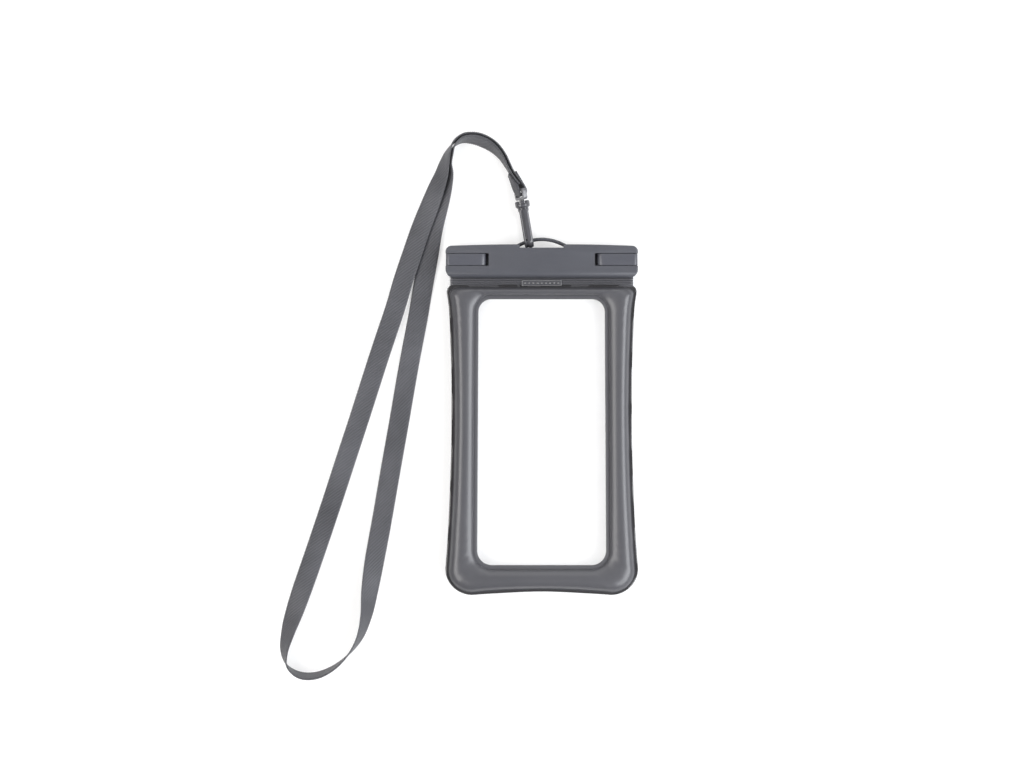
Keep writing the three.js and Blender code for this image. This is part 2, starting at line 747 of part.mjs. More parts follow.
const archRoute = [
  [-14.8, 142.5, 0.8, 114], [-16.7, 146.6, 0.5, 102], [-19.0, 151.3, 0.2, 94], [-20.9, 154.9, 0.1, 96],
  [-24.4, 160.8, 0.1, 103], [-28.8, 165.7, 0.1, 111], [-33.8, 169.1, 0.1, 116], [-39.7, 171.5, 0.1, 116],
  [-43.9, 172.2, 0.1, 112], [-47.6, 172.1, 0.1, 107], [-51.1, 170.8, 0.1, 99], [-54.6, 168.0, 0.1, 89],
  [-57.4, 162.6, 0.1, 73], [-59.4, 156.4, 0.1, 60],
];

const leftRoute = [
  [-62.0, 149.8, 0.8, 47], [-65.2, 141.4, 0.6, 33], [-69.2, 130.6, 0.5, 21], [-74.5, 116.0, 0.5, 13],
  [-80.2, 99.2, 0.6, 9], [-85.8, 82.6, 0.7, 6], [-91.0, 66.4, 0.7, 3], [-100.2, 39.0, 0.2, 0],
  [-109.3, 10.6, 0.1, 0], [-118.4, -17.4, 0.1, 0], [-127.7, -46.0, 0.1, 0], [-137.3, -74.8, 0.1, 0],
  [-146.8, -102.6, 0.1, 6], [-152.6, -119.6, 0.2, 22], [-157.4, -134.6, 0.3, 45], [-159.6, -146.6, 0.3, 66],
  [-157.8, -155.4, 0.3, 88],
];

const turnRoute = [
  [-150.4, -160.9, 0.3, 104], [-140.4, -161.4, 0.3, 106], [-129.6, -156.8, 0.3, 100], [-119.6, -148.0, 0.3, 88],
];

const rightRoute = [
  [-112.8, -137.6, 0.3, 73], [-108.9, -124.6, 0.3, 57], [-106.6, -108.0, 0.2, 34], [-103.9, -90.6, 0.1, 14],
  [-99.9, -68.6, 0.1, 0], [-94.3, -36.6, 0.1, 0], [-88.3, -2.4, 0.1, 0], [-82.2, 32.6, 0.1, 0],
  [-75.8, 66.0, 0.1, 0], [-72.6, 82.6, 0.1, -2], [-69.6, 99.2, 0.1, -5], [-66.7, 116.0, 0.1, -12],
  [-63.4, 130.6, 0.1, -20], [-60.6, 141.4, 0.1, -34], [-58.8, 149.8, 0.1, -48],
];

// Height of the strap's middle when its lower edge is a given gap above the surface
function strapHeight(gap, roll) {
  const lean = THREE.MathUtils.degToRad(roll);
  return gap + strapClear + (strapWidth * Math.abs(Math.sin(lean)) + strapThickness * Math.abs(Math.cos(lean))) / 2;
}

// The arch carries both ends of the strap, one layer on each side of its middle
function archLayer(offset, backwards) {
  const layer = archRoute.map(([x, y, gap, roll], i) => {
    const before = archRoute[Math.max(i - 1, 0)];
    const after = archRoute[Math.min(i + 1, archRoute.length - 1)];
    const heading = new THREE.Vector2(after[0] - before[0], after[1] - before[1]).normalize();
    const lean = THREE.MathUtils.degToRad(roll);
    const aside = offset * Math.sin(lean);
    const lift = Math.abs(offset * Math.cos(lean)) - offset * Math.cos(lean);
    return [x - heading.y * aside, y + heading.x * aside, gap + lift, backwards ? -roll : roll];
  });
  return backwards ? layer.reverse() : layer;
}

const strapRoute = [
  ...archLayer(-strapSpacing / 2, false), ...leftRoute, ...turnRoute, ...rightRoute,
  ...archLayer(strapSpacing / 2, true),
];

// Curve through the route whose section turns with the strap's own roll
class StrapCurve extends THREE.CatmullRomCurve3 {
  constructor(route) {
    super(route.map(([x, y, gap, roll]) => new THREE.Vector3(x, y, strapHeight(gap, roll))), false, 'centripetal');
    this.rolls = route.map((point) => point[3]);
  }

  rollAt(u) {
    const place = this.getUtoTmapping(u) * (this.rolls.length - 1);
    const low = Math.min(Math.floor(place), this.rolls.length - 2);
    return THREE.MathUtils.degToRad(THREE.MathUtils.lerp(this.rolls[low], this.rolls[low + 1], place - low));
  }

  computeFrenetFrames(segments) {
    const tangents = [];
    const normals = [];
    const binormals = [];
    for (let i = 0; i <= segments; i += 1) {
      const tangent = this.getTangentAt(i / segments);
      const level = new THREE.Vector3(-tangent.y, tangent.x, 0).normalize();
      const upward = new THREE.Vector3().crossVectors(tangent, level);
      const roll = this.rollAt(i / segments);
      tangents.push(tangent);
      normals.push(level.clone().multiplyScalar(Math.cos(roll)).addScaledVector(upward, Math.sin(roll)));
      binormals.push(upward.clone().multiplyScalar(Math.cos(roll)).addScaledVector(level, -Math.sin(roll)));
    }
    return { tangents, normals, binormals };
  }
}

function lanyardStrap() {
  const half = strapWidth / 2;
  const bevel = strapThickness / 2;
  const section = new THREE.Shape([
    new THREE.Vector2(-half, 0), new THREE.Vector2(-half + bevel, -bevel), new THREE.Vector2(0, -bevel),
    new THREE.Vector2(half - bevel, -bevel), new THREE.Vector2(half, 0), new THREE.Vector2(half - bevel, bevel),
    new THREE.Vector2(0, bevel), new THREE.Vector2(-half + bevel, bevel),
  ]);
  return new THREE.ExtrudeGeometry(section, { steps: strapSteps, extrudePath: new StrapCurve(strapRoute) });
}

// Assembly

const pouch = new THREE.Group();
const frontSheet = frontFilm();
const frontRing = airRing();
pouch.add(
  namedMesh('back_jaw', toGeometry(backJaw()), paint.bar),
  namedMesh('front_jaw', toGeometry(frontJaw()), paint.bar),
  namedMesh('seal_strip', toGeometry(sealStrip()), paint.seal),
  namedMesh('front_film', toGeometry(frontSheet), paint.film),
  namedMesh('back_film', toGeometry(mirroredDown(frontSheet)), paint.film),
  namedMesh('front_air_ring', toGeometry(frontRing), paint.skin),
  namedMesh('back_air_ring', toGeometry(mirroredDown(frontRing)), paint.skin),
  namedMesh('neck_pad', toGeometry(neckPad()), paint.skin),
);
for (const [name, side] of [['left', -1], ['right', 1]]) {
  pouch.add(
    namedMesh(`${name}_latch`, toGeometry(latch(side)), paint.latch),
    namedMesh(`${name}_latch_pin`, toGeometry(latchPin(side)), paint.steel),
  );
}

const hook = new THREE.Group();
const down = new THREE.Vector3(0, 0, -1);
const hookAcross = new THREE.Vector3().crossVectors(hookHeading, down);
hook.quaternion.setFromRotationMatrix(new THREE.Matrix4().makeBasis(hookHeading, down, hookAcross));
hook.position.copy(hookStart);
const lean = THREE.MathUtils.degToRad(eyeLean);
const eye = namedMesh('swivel_eye', toGeometry(swivelEye()), paint.hook);
eye.rotation.x = lean;
hook.add(
  namedMesh('snap_hook', toGeometry(snapHook()), paint.hook),
  namedMesh('hook_gate', toGeometry(hookGate()), paint.hook),
  namedMesh('gate_pin', toGeometry(gatePin()), paint.steel),
  eye,
);

const tab = namedMesh('strap_fold', toGeometry(strapFold()), paint.strap);
tab.quaternion.setFromUnitVectors(new THREE.Vector3(1, 0, 0), tabHeading);
tab.quaternion.premultiply(new THREE.Quaternion().setFromAxisAngle(hookHeading, lean));
tab.position.copy(hookStart).addScaledVector(hookHeading, eyeStrand / 2 - eyeReach);

const assembly = new THREE.Group();
assembly.add(pouch, hook, tab, namedMesh('lanyard_strap', lanyardStrap(), paint.strap));

export default assembly;
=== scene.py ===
"""Waterproof phone pouch with its neck lanyard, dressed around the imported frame.

Metres, +X to the right, +Y towards the closure bar, +Z up. The pouch lies on its back.
"""
import json
import math

import bmesh
import bpy
import numpy as np
from mathutils import Matrix, Vector


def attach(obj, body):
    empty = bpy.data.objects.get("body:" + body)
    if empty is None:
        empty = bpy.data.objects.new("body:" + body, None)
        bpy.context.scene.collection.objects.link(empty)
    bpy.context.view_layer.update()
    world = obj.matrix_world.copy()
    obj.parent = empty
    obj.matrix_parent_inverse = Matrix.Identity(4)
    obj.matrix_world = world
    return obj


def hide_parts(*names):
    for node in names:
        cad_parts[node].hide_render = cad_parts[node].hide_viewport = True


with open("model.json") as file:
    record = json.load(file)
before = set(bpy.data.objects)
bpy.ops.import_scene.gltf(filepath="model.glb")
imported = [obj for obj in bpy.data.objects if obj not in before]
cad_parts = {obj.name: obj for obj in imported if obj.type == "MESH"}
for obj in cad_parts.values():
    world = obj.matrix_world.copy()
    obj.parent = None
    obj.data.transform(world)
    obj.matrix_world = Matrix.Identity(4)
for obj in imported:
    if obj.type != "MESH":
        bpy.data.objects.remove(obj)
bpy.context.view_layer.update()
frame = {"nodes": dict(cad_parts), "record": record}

MM = 0.001

# Levels and sizes of the sheets, in millimetres
WELD_LEVEL = 7.0
FILM_THICKNESS = 0.5
FILM_SPACING = 0.5
POCKET_DEPTH = 4.8
SKIN_THICKNESS = 0.4
WELD_GAP = 0.1
RING_CROWN = 7.0
TUBE_FULLNESS = 1.15
FLANGE_WIDTH = 2.0
LAND_WIDTH = 2.2
TUBE_TOP = 79.5
NECK_HALF = 56.6
NECK_TOP = 86.1
NECK_FILM_HALF = 57.6
FILM_LIP_TOP = 89.4
LIP_ROUNDING = 0.15
POUCH = {
    "top": 81.4,
    "top_radius": 4.9,
    "sides": [(59.0, 76.5), (57.1, 59.2), (55.9, 9.6), (56.7, -40.0), (58.5, -77.2), (59.7, -95.0)],
    "foot_radius": 16.5,
    "bottom": -111.5,
    "sag": 2.1,
}
WINDOW = {
    "top": 72.1,
    "top_radius": 8.0,
    "sides": [(39.2, 64.1), (40.0, -83.9)],
    "foot_radius": 9.0,
    "bottom": -92.9,
    "sag": 0.0,
}

# Strap sizes, in millimetres
STRAP_WIDTH = 12.0
STRAP_THICKNESS = 0.9
STRAP_LAYERS_APART = 2.0
STRAP_CLEAR = 0.05
STRAP_STEP = 0.4
SELVEDGE_PITCH = 1.3
SELVEDGE_LOOP = 1.15
SELVEDGE_RADIUS = 0.36
SELVEDGE_INSET = 0.05
PICK_SWELL = 0.012

# Camera: straight down, framed on the photograph's 1024 by 767 view
PIXEL = 0.62 * MM
PHOTO_COLUMNS = 1024
VIEW_WIDTH = PHOTO_COLUMNS * PIXEL
VIEW_CENTRE = Vector((-0.0184, 0.0198, 0.007))
CAMERA_DISTANCE = 2.2
SENSOR_MM = 36.0
NEAREST = 0.05
FARTHEST = 20


def add_camera():
    data = bpy.data.cameras.new("overhead_camera")
    data.sensor_width = SENSOR_MM
    data.lens = SENSOR_MM * CAMERA_DISTANCE / VIEW_WIDTH
    data.clip_start = NEAREST
    data.clip_end = FARTHEST
    camera = bpy.data.objects.new("overhead_camera", data)
    camera.location = VIEW_CENTRE + Vector((0, 0, CAMERA_DISTANCE))
    bpy.context.scene.collection.objects.link(camera)
    bpy.context.scene.camera = camera


# Node trees

def tree_node(tree, kind, settings=None, links=None):
    """A node with its settings and constant inputs, and with its linked inputs."""
    made = tree.nodes.new(kind)
    for key, value in (settings or {}).items():
        if isinstance(key, str) and hasattr(made, key):
            setattr(made, key, value)
        else:
            made.inputs[key].default_value = value
    for key, output in (links or {}).items():
        tree.links.new(output, made.inputs[key])
    return made


# Materials

# Darkest and lightest tone of each
BAR_TONES = ((0.055, 0.057, 0.068), (0.066, 0.068, 0.08))
LATCH_TONES = ((0.06, 0.062, 0.075), (0.071, 0.073, 0.087))
SKIN_TONES = ((0.063, 0.063, 0.07), (0.079, 0.079, 0.087))
PAD_TONES = ((0.064, 0.064, 0.071), (0.084, 0.084, 0.091))
# Pips and bead on the pad: lighter than the pad, a painted highlight on the raised relief
RELIEF_PAINTED_HIGHLIGHT_TONES = ((0.17, 0.17, 0.176), (0.24, 0.24, 0.247))
HOOK_TONES = ((0.06, 0.06, 0.067), (0.08, 0.08, 0.088))
EYE_TONES = ((0.13, 0.13, 0.14), (0.18, 0.18, 0.19))
FILM_TONES = ((0.93, 0.93, 0.95), (0.98, 0.98, 0.99))
WEBBING_TONES = ((0.027, 0.027, 0.032), (0.082, 0.083, 0.094))
THREAD_TONES = ((0.05, 0.05, 0.055), (0.11, 0.11, 0.12))
STEEL_TONES = ((0.5, 0.5, 0.51), (0.66, 0.66, 0.67))
SEAL_TONES = ((0.5, 0.5, 0.5), (0.62, 0.62, 0.62))
SEAM_TONE = (0.035, 0.034, 0.036)

NOISE_ROUGHNESS = 0.55

# The weave's turns, in radians per metre along and across the strap
RIB_ALONG = 2500.0
RIB_ACROSS = 3350.0
PICK_ALONG = 6800.0


class Field:
    """A shader socket that takes part in Python arithmetic."""

    def __init__(self, finish, socket):
        self.finish = finish
        self.socket = socket

    def _math(self, operation, first, second=None):
        inputs = {0: first} if second is None else {0: first, 1: second}
        return self.finish.node("ShaderNodeMath", {"operation": operation}, inputs)

    def __add__(self, other):
        return self._math("ADD", self, other)

    def __radd__(self, other):
        return self._math("ADD", other, self)

    def __sub__(self, other):
        return self._math("SUBTRACT", self, other)

    def __rsub__(self, other):
        return self._math("SUBTRACT", other, self)

    def __mul__(self, other):
        return self._math("MULTIPLY", self, other)

    def __rmul__(self, other):
        return self._math("MULTIPLY", other, self)

    def __pow__(self, other):
        return self._math("POWER", self, other)

    def sine(self):
        return self._math("SINE", self)

    def absolute(self):
        return self._math("ABSOLUTE", self)


class Finish:
    """A material under construction. Every node is made by the same method."""

    def __init__(self, name, **constants):
        self.material = bpy.data.materials.new(name)
        self.material.use_nodes = True
        self.tree = self.material.node_tree
        self.shader = self.tree.nodes["Principled BSDF"]
        for socket, value in constants.items():
            self.shader.inputs[socket.replace("_", " ")].default_value = value

    def node(self, kind, settings=None, inputs=None, output=0):
        made = tree_node(self.tree, kind, settings)
        for key, value in (inputs or {}).items():
            self._feed(made.inputs[key], value)
        return Field(self, made.outputs[output])

    def _feed(self, socket, value):
        if isinstance(value, Field):
            self.tree.links.new(value.socket, socket)
        else:
            socket.default_value = value

    def drive(self, socket, value):
        self._feed(self.shader.inputs[socket], value)

    def place(self):
        return self.node("ShaderNodeTexCoord", output="Object")

    def noise(self, scale, detail, stretch=(1, 1, 1)):
        where = self.node("ShaderNodeMapping", inputs={"Vector": self.place(), "Scale": stretch})
        return self.node(
            "ShaderNodeTexNoise",
            inputs={"Vector": where, "Scale": scale, "Detail": detail, "Roughness": NOISE_ROUGHNESS},
            output="Fac",
        )

    def between(self, low, high, amount):
        """A colour between two, by an amount from 0 to 1."""
        colours = {"Factor": amount, 6: (*low, 1), 7: (*high, 1)}
        return self.node("ShaderNodeMix", {"data_type": "RGBA"}, colours, output=2)

    def blend(self, first, second, amount):
        """A first colour, turned into a fixed second one by an amount from 0 to 1."""
        colours = {"Factor": amount, 6: first, 7: (*second, 1)}
        return self.node("ShaderNodeMix", {"data_type": "RGBA"}, colours, output=2)

    def bump(self, height, distance, strength, normal=None):
        inputs = {"Height": height, "Distance": distance, "Strength": strength}
        if normal is not None:
            inputs["Normal"] = normal
        return self.node("ShaderNodeBump", inputs=inputs)


def moulded_finish(name, tones, roughness, grain=2600):
    """Fine matt moulded plastic: spark-eroded grain, faint flow clouds."""
    finish = Finish(name)
    clouds = finish.noise(scale=38, detail=4)
    pits = finish.noise(scale=grain, detail=2)
    finish.drive("Base Color", finish.between(*tones, clouds))
    finish.drive("Roughness", roughness - 0.06 + 0.12 * clouds)
    finish.drive("Normal", finish.bump(pits, distance=0.00003, strength=0.55))
    return finish.material


def skin_finish():
    """Dark soft sheet with a satin sheen, faint stretch marks and fine grain, glossier at its seam."""
    finish = Finish("soft_dark_sheet")
    clouds = finish.noise(scale=24, detail=5)
    marks = finish.noise(scale=140, detail=3, stretch=(1, 0.25, 1))
    grain = finish.noise(scale=3200, detail=1)
    seam = finish.node("ShaderNodeAttribute", {"attribute_name": "seam"}, output="Fac")
    sheet = finish.between(*SKIN_TONES, clouds)
    finish.drive("Base Color", finish.blend(sheet, SEAM_TONE, seam))
    finish.drive("Roughness", 0.29 + 0.08 * clouds - 0.16 * seam)
    soft = finish.bump(marks, distance=0.00012, strength=0.35)
    finish.drive("Normal", finish.bump(grain, distance=0.00002, strength=0.4, normal=soft))
    return finish.material


def film_finish(name, body):
    """Clear glossy sheet with a faint milky bloom."""
    finish = Finish(name, Roughness=0.12, IOR=1.5)
    bloom = finish.noise(scale=30, detail=4)
    ripple = finish.noise(scale=55, detail=2)
    finish.drive("Base Color", finish.between(*FILM_TONES, bloom))
    finish.drive("Alpha", body + 0.04 * bloom)
    finish.drive("Normal", finish.bump(ripple, distance=0.0004, strength=0.2))
    return finish.material


def webbing_finish():
    """Twill webbing: diagonal ribs of yarn crossed by fine picks, from the strap's own map."""
    finish = Finish("twill_webbing", Sheen_Weight=0.12, Sheen_Roughness=0.4)
    plan = finish.node("ShaderNodeUVMap", {"uv_map": "along_across"}, output="UV")
    along = finish.node("ShaderNodeSeparateXYZ", inputs={"Vector": plan}, output="X")
    across = Field(finish, along.socket.node.outputs["Y"])
    rib = ((along * RIB_ALONG + across * RIB_ACROSS).sine() * 0.5 + 0.5) ** 0.8
    pick = (along * PICK_ALONG).sine().absolute()
    fuzz = finish.noise(scale=5000, detail=2)
    clouds = finish.noise(scale=19, detail=3)
    height = rib * 0.75 + pick * 0.25 + fuzz * 0.3
    tone = clouds * 2.0 + rib * 0.36 + fuzz * 0.1 - 0.78
    finish.drive("Base Color", finish.between(*WEBBING_TONES, tone))
    finish.drive("Roughness", 0.62 - 0.14 * rib)
    finish.drive("Normal", finish.bump(height, distance=0.00022, strength=0.6))
    return finish.material


def thread_finish():
    """Twisted sewing thread."""
    finish = Finish("sewing_thread", Roughness=0.6)
    twist = finish.noise(scale=4200, detail=2)
    finish.drive("Base Color", finish.between(*THREAD_TONES, twist))
    finish.drive("Normal", finish.bump(twist, distance=0.00005, strength=0.6))
    return finish.material


def steel_finish():
    """Drawn wire with streaks along it."""
    finish = Finish("drawn_steel", Metallic=1.0)
    streaks = finish.noise(scale=900, detail=3, stretch=(1, 0.05, 1))
    finish.drive("Base Color", finish.between(*STEEL_TONES, streaks))
    finish.drive("Roughness", 0.24 + 0.16 * streaks)
    return finish.material


def gloss_finish(name, tones, roughness):
    """Smooth moulded plastic of the hook: glossy, with faint flow marks."""
    finish = Finish(name)
    flow = finish.noise(scale=160, detail=4, stretch=(1, 0.3, 1))
    waviness = finish.noise(scale=900, detail=2)
    finish.drive("Base Color", finish.between(*tones, flow))
    finish.drive("Roughness", roughness - 0.05 + 0.12 * flow)
    finish.drive("Normal", finish.bump(waviness, distance=0.00003, strength=0.3))
    return finish.material


def seal_finish():
    """Matt soft strip."""
    finish = Finish("soft_seal")
    clouds = finish.noise(scale=400, detail=3)
    finish.drive("Base Color", finish.between(*SEAL_TONES, clouds))
    finish.drive("Roughness", 0.5 + 0.2 * clouds)
    return finish.material


bar_plastic = moulded_finish("bar_plastic", BAR_TONES, roughness=0.42)
latch_plastic = moulded_finish("latch_plastic", LATCH_TONES, roughness=0.36)
pad_sheet = moulded_finish("pad_sheet", PAD_TONES, roughness=0.26, grain=1800)
# Lighter than the pad sheet: a painted highlight on the raised pips and bead
pad_relief_painted_highlight = moulded_finish("pad_relief_painted_highlight", RELIEF_PAINTED_HIGHLIGHT_TONES, roughness=0.2, grain=1800)
hook_plastic = gloss_finish("hook_plastic", HOOK_TONES, roughness=0.15)
eye_plastic = gloss_finish("eye_plastic", EYE_TONES, roughness=0.24)
skin_sheet = skin_finish()
clear_sheet = film_finish("clear_sheet", body=0.05)
clear_edge = film_finish("clear_sheet_edge", body=0.3)
webbing = webbing_finish()
thread = thread_finish()
steel = steel_finish()
seal_rubber = seal_finish()

HOME = {node: body for body, nodes in frame["record"]["behaviour"]["bodies"].items() for node in nodes}


# Meshes

MERGE_DISTANCE = 0.002
FLAT_ANGLE = 0.5


def add_mesh(name, points, faces, material, smooth_angle=None):
    mesh = bpy.data.meshes.new(name)
    mesh.from_pydata([tuple(p) for p in points], [], [tuple(f) for f in faces])
    mesh.validate()
    piece = bpy.data.objects.new(name, mesh)
    bpy.context.scene.collection.objects.link(piece)
    mesh.materials.append(material)
    smooth(mesh, smooth_angle)
    return piece


def smooth(mesh, angle=None):
    mesh.polygons.foreach_set("use_smooth", [True] * len(mesh.polygons))
    if angle is not None:
        mesh.set_sharp_from_angle(angle=math.radians(angle))


def band_faces(loops, count, closed):
    """Quads between neighbouring loops of equal count, wrapping round each loop."""
    here = np.arange(count)
    after = (here + 1) % count
    faces = []
    last = loops if closed else loops - 1
    for band in range(last):
        a = band * count
        b = ((band + 1) % loops) * count
        faces.extend(np.stack([a + here, a + after, b + after, b + here], axis=1).tolist())
    return faces


def capped_faces(loops, count):
    """Quads along an open tube, with a face over each of its ends."""
    faces = band_faces(loops, count, closed=False)
    faces.append(list(range(count))[::-1])
    faces.append(list(range((loops - 1) * count, loops * count)))
    return faces


def face_outwards(mesh):
    work = bmesh.new()
    work.from_mesh(mesh)
    bmesh.ops.recalc_face_normals(work, faces=work.faces)
    work.to_mesh(mesh)
    work.free()


def finished(piece, body, slot_name, *nodes):
    """Gives a piece its body and hides the CAD nodes that it replaces; its slot name is not used."""
    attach(piece, body)
    if nodes:
        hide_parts(*nodes)
    return piece


def baked(piece):
    """Turns a piece with modifiers into a plain mesh."""
    graph = bpy.context.evaluated_depsgraph_get()
    mesh = bpy.data.meshes.new_from_object(piece.evaluated_get(graph))
    piece.modifiers.clear()
    piece.data = mesh
    mesh.name = piece.name
    return piece


def dressed(node, name, material, slot_name, bevel, segments=2, angle=32, slimmer=0.0):
    """A merged copy of a CAD node with its edges rounded, made slimmer all over by a given amount."""
    mesh = frame["nodes"][node].data.copy()
    mesh.materials.clear()
    work = bmesh.new()
    work.from_mesh(mesh)
    bmesh.ops.remove_doubles(work, verts=work.verts, dist=MERGE_DISTANCE * MM)
    bmesh.ops.dissolve_limit(
        work, angle_limit=math.radians(FLAT_ANGLE), use_dissolve_boundaries=False,
        verts=work.verts, edges=work.edges, delimit=set(),
    )
    bmesh.ops.recalc_face_normals(work, faces=work.faces)
    work.normal_update()
    for vertex in work.verts:
        vertex.co -= vertex.normal * slimmer * MM
    work.to_mesh(mesh)
    work.free()
    piece = bpy.data.objects.new(name, mesh)
    bpy.context.scene.collection.objects.link(piece)
    mesh.materials.append(material)
    rounding = piece.modifiers.new("rounded_edges", "BEVEL")
    rounding.width = bevel * MM
    rounding.segments = segments
    rounding.limit_method = "ANGLE"
    rounding.angle_limit = math.radians(angle)
    rounding.use_clamp_overlap = True
    baked(piece)
    smooth(piece.data, angle)
    return finished(piece, HOME[node], slot_name, node)


# Outlines

def distances(line):
    """The way along a polyline to each of its points, whose first two or three numbers are a place."""
    return np.r_[0, np.cumsum(np.linalg.norm(np.diff(line[:, :3], axis=0), axis=1))]


def resampled(line, count):
    """Evenly spaced points along a polyline."""
    steps = distances(line)
    return np.stack([np.interp(np.linspace(0, steps[-1], count), steps, c) for c in line.T], axis=1)


def unit(vectors):
    return vectors / np.linalg.norm(vectors, axis=1)[:, None]


def bezier(handles, samples=60):
    """Bezier curve of any degree."""
    t = np.linspace(0, 1, samples)[:, None]
    points = [np.array(h, float)[None, :] for h in handles]
    while len(points) > 1:
        points = [a * (1 - t) + b * t for a, b in zip(points, points[1:])]
    return points[0]


def spline(points, samples=24):
    """Uniform Catmull-Rom curve through the points."""
    p = np.array([points[0], *points, points[-1]], float)
    t = np.linspace(0, 1, samples)[:, None]
    stretches = []
    for a, b, c, d in zip(p, p[1:], p[2:], p[3:]):
        slope_b = (c - a) * 0.5
        slope_c = (d - b) * 0.5
        stretches.append(
            (2 * b - 2 * c + slope_b + slope_c) * t ** 3
            + (-3 * b + 3 * c - 2 * slope_b - slope_c) * t ** 2 + slope_b * t + b
        )
    return np.concatenate(stretches)


LOOP_COUNTS = {"top": 40, "shoulder": 22, "side": 90, "foot": 30, "bottom": 36}
ROUND_HANDLE = 0.552


def outline(top, top_radius, sides, foot_radius, bottom, sag):
    """Closed outline in millimetres, clockwise from the middle of its top."""
    (first_x, first_y), (last_x, last_y) = sides[0], sides[-1]
    corner_top = (first_x - top_radius, top)
    corner_foot = (last_x - foot_radius, bottom)
    keep = 1 - ROUND_HANDLE
    stretches = [
        (bezier([(0, top), corner_top]), "top"),
        (bezier([
            corner_top, (corner_top[0] + top_radius * ROUND_HANDLE, top),
            (first_x, top - (top - first_y) * keep), sides[0],
        ]), "shoulder"),
        (spline(sides), "side"),
        (bezier([
            sides[-1], (last_x, last_y - (last_y - bottom) * ROUND_HANDLE),
            (last_x - foot_radius * keep, bottom), corner_foot,
        ]), "foot"),
        (bezier([corner_foot, (corner_foot[0] / 2, bottom + sag), (0, bottom + sag)]), "bottom"),
    ]
    right = [resampled(curve, LOOP_COUNTS[part] + 1)[1:] for curve, part in stretches]
    right = np.concatenate([[(0.0, top)], *right])
    left = right[1:-1][::-1] * (-1, 1)
    return np.concatenate([right, left])


def window_outline(margin):
    return outline(
        WINDOW["top"] + margin, WINDOW["top_radius"] + margin,
        [(x + margin, y) for x, y in WINDOW["sides"]],
        WINDOW["foot_radius"] + margin, WINDOW["bottom"] - margin, WINDOW["sag"],
    )


pouch_edge = outline(**POUCH)
tube_edge = outline(
    TUBE_TOP, POUCH["top_radius"] + FLANGE_WIDTH,
    [(x - FLANGE_WIDTH, y - FLANGE_WIDTH / 2) for x, y in POUCH["sides"]],
    POUCH["foot_radius"] - FLANGE_WIDTH, POUCH["bottom"] + FLANGE_WIDTH, POUCH["sag"],
)
window_edge = window_outline(0)
land_edge = window_outline(LAND_WIDTH)
LOOP_POINTS = len(pouch_edge)


def at_level(plan, level):
    levels = np.broadcast_to(level, (len(plan),))
    return np.column_stack([plan, levels])


# Webbing

# The strap's route: x, y, room under the band and its roll in degrees
ARCH_ROUTE = [
    (-14.8, 142.5, 0.8, 114), (-16.7, 146.6, 0.5, 102), (-19.0, 151.3, 0.2, 94), (-20.9, 154.9, 0.1, 96),
    (-24.4, 160.8, 0.1, 103), (-28.8, 165.7, 0.1, 111), (-33.8, 169.1, 0.1, 116), (-39.7, 171.5, 0.1, 116),
    (-43.9, 172.2, 0.1, 112), (-47.6, 172.1, 0.1, 107), (-51.1, 170.8, 0.1, 99), (-54.6, 168.0, 0.1, 89),
    (-57.4, 162.6, 0.1, 73), (-59.4, 156.4, 0.1, 60),
]

LEFT_ROUTE = [
    (-62.0, 149.8, 0.8, 47), (-65.2, 141.4, 0.6, 33), (-69.2, 130.6, 0.5, 21), (-74.5, 116.0, 0.5, 13),
    (-80.2, 99.2, 0.6, 9), (-85.8, 82.6, 0.7, 6), (-91.0, 66.4, 0.7, 3), (-100.2, 39.0, 0.2, 0),
    (-109.3, 10.6, 0.1, 0), (-118.4, -17.4, 0.1, 0), (-127.7, -46.0, 0.1, 0), (-137.3, -74.8, 0.1, 0),
    (-146.8, -102.6, 0.1, 6), (-152.6, -119.6, 0.2, 22), (-157.4, -134.6, 0.3, 45), (-159.6, -146.6, 0.3, 66),
    (-157.8, -155.4, 0.3, 88),
]

TURN_ROUTE = [
    (-150.4, -160.9, 0.3, 104), (-140.4, -161.4, 0.3, 106), (-129.6, -156.8, 0.3, 100),
    (-119.6, -148.0, 0.3, 88),
]

RIGHT_ROUTE = [
    (-112.8, -137.6, 0.3, 73), (-108.9, -124.6, 0.3, 57), (-106.6, -108.0, 0.2, 34), (-103.9, -90.6, 0.1, 14),
    (-99.9, -68.6, 0.1, 0), (-94.3, -36.6, 0.1, 0), (-88.3, -2.4, 0.1, 0), (-82.2, 32.6, 0.1, 0),
    (-75.8, 66.0, 0.1, 0), (-72.6, 82.6, 0.1, -2), (-69.6, 99.2, 0.1, -5), (-66.7, 116.0, 0.1, -12),
    (-63.4, 130.6, 0.1, -20), (-60.6, 141.4, 0.1, -34), (-58.8, 149.8, 0.1, -48),
]


def strap_height(gap, roll):
    """Height of the band's middle, from the room under it."""
    lean = math.radians(roll)
    depth = STRAP_WIDTH * abs(math.sin(lean)) + STRAP_THICKNESS * abs(math.cos(lean))
    return gap + STRAP_CLEAR + depth / 2


def arch_layer(offset, backwards):
    """One of the two layers that the arch carries, on one side of the arch's middle."""
    layer = []
    for i, (x, y, gap, roll) in enumerate(ARCH_ROUTE):
        before = ARCH_ROUTE[max(i - 1, 0)]
        after = ARCH_ROUTE[min(i + 1, len(ARCH_ROUTE) - 1)]
        heading = Vector((after[0] - before[0], after[1] - before[1])).normalized()
        lean = math.radians(roll)
        aside = offset * math.sin(lean)
        lift = abs(offset * math.cos(lean)) - offset * math.cos(lean)
        turned = -roll if backwards else roll
        layer.append((x - heading.y * aside, y + heading.x * aside, gap + lift, turned))
    return layer[::-1] if backwards else layer


STRAP_ROUTE = (
    arch_layer(-STRAP_LAYERS_APART / 2, False) + LEFT_ROUTE + TURN_ROUTE + RIGHT_ROUTE
    + arch_layer(STRAP_LAYERS_APART / 2, True)
)


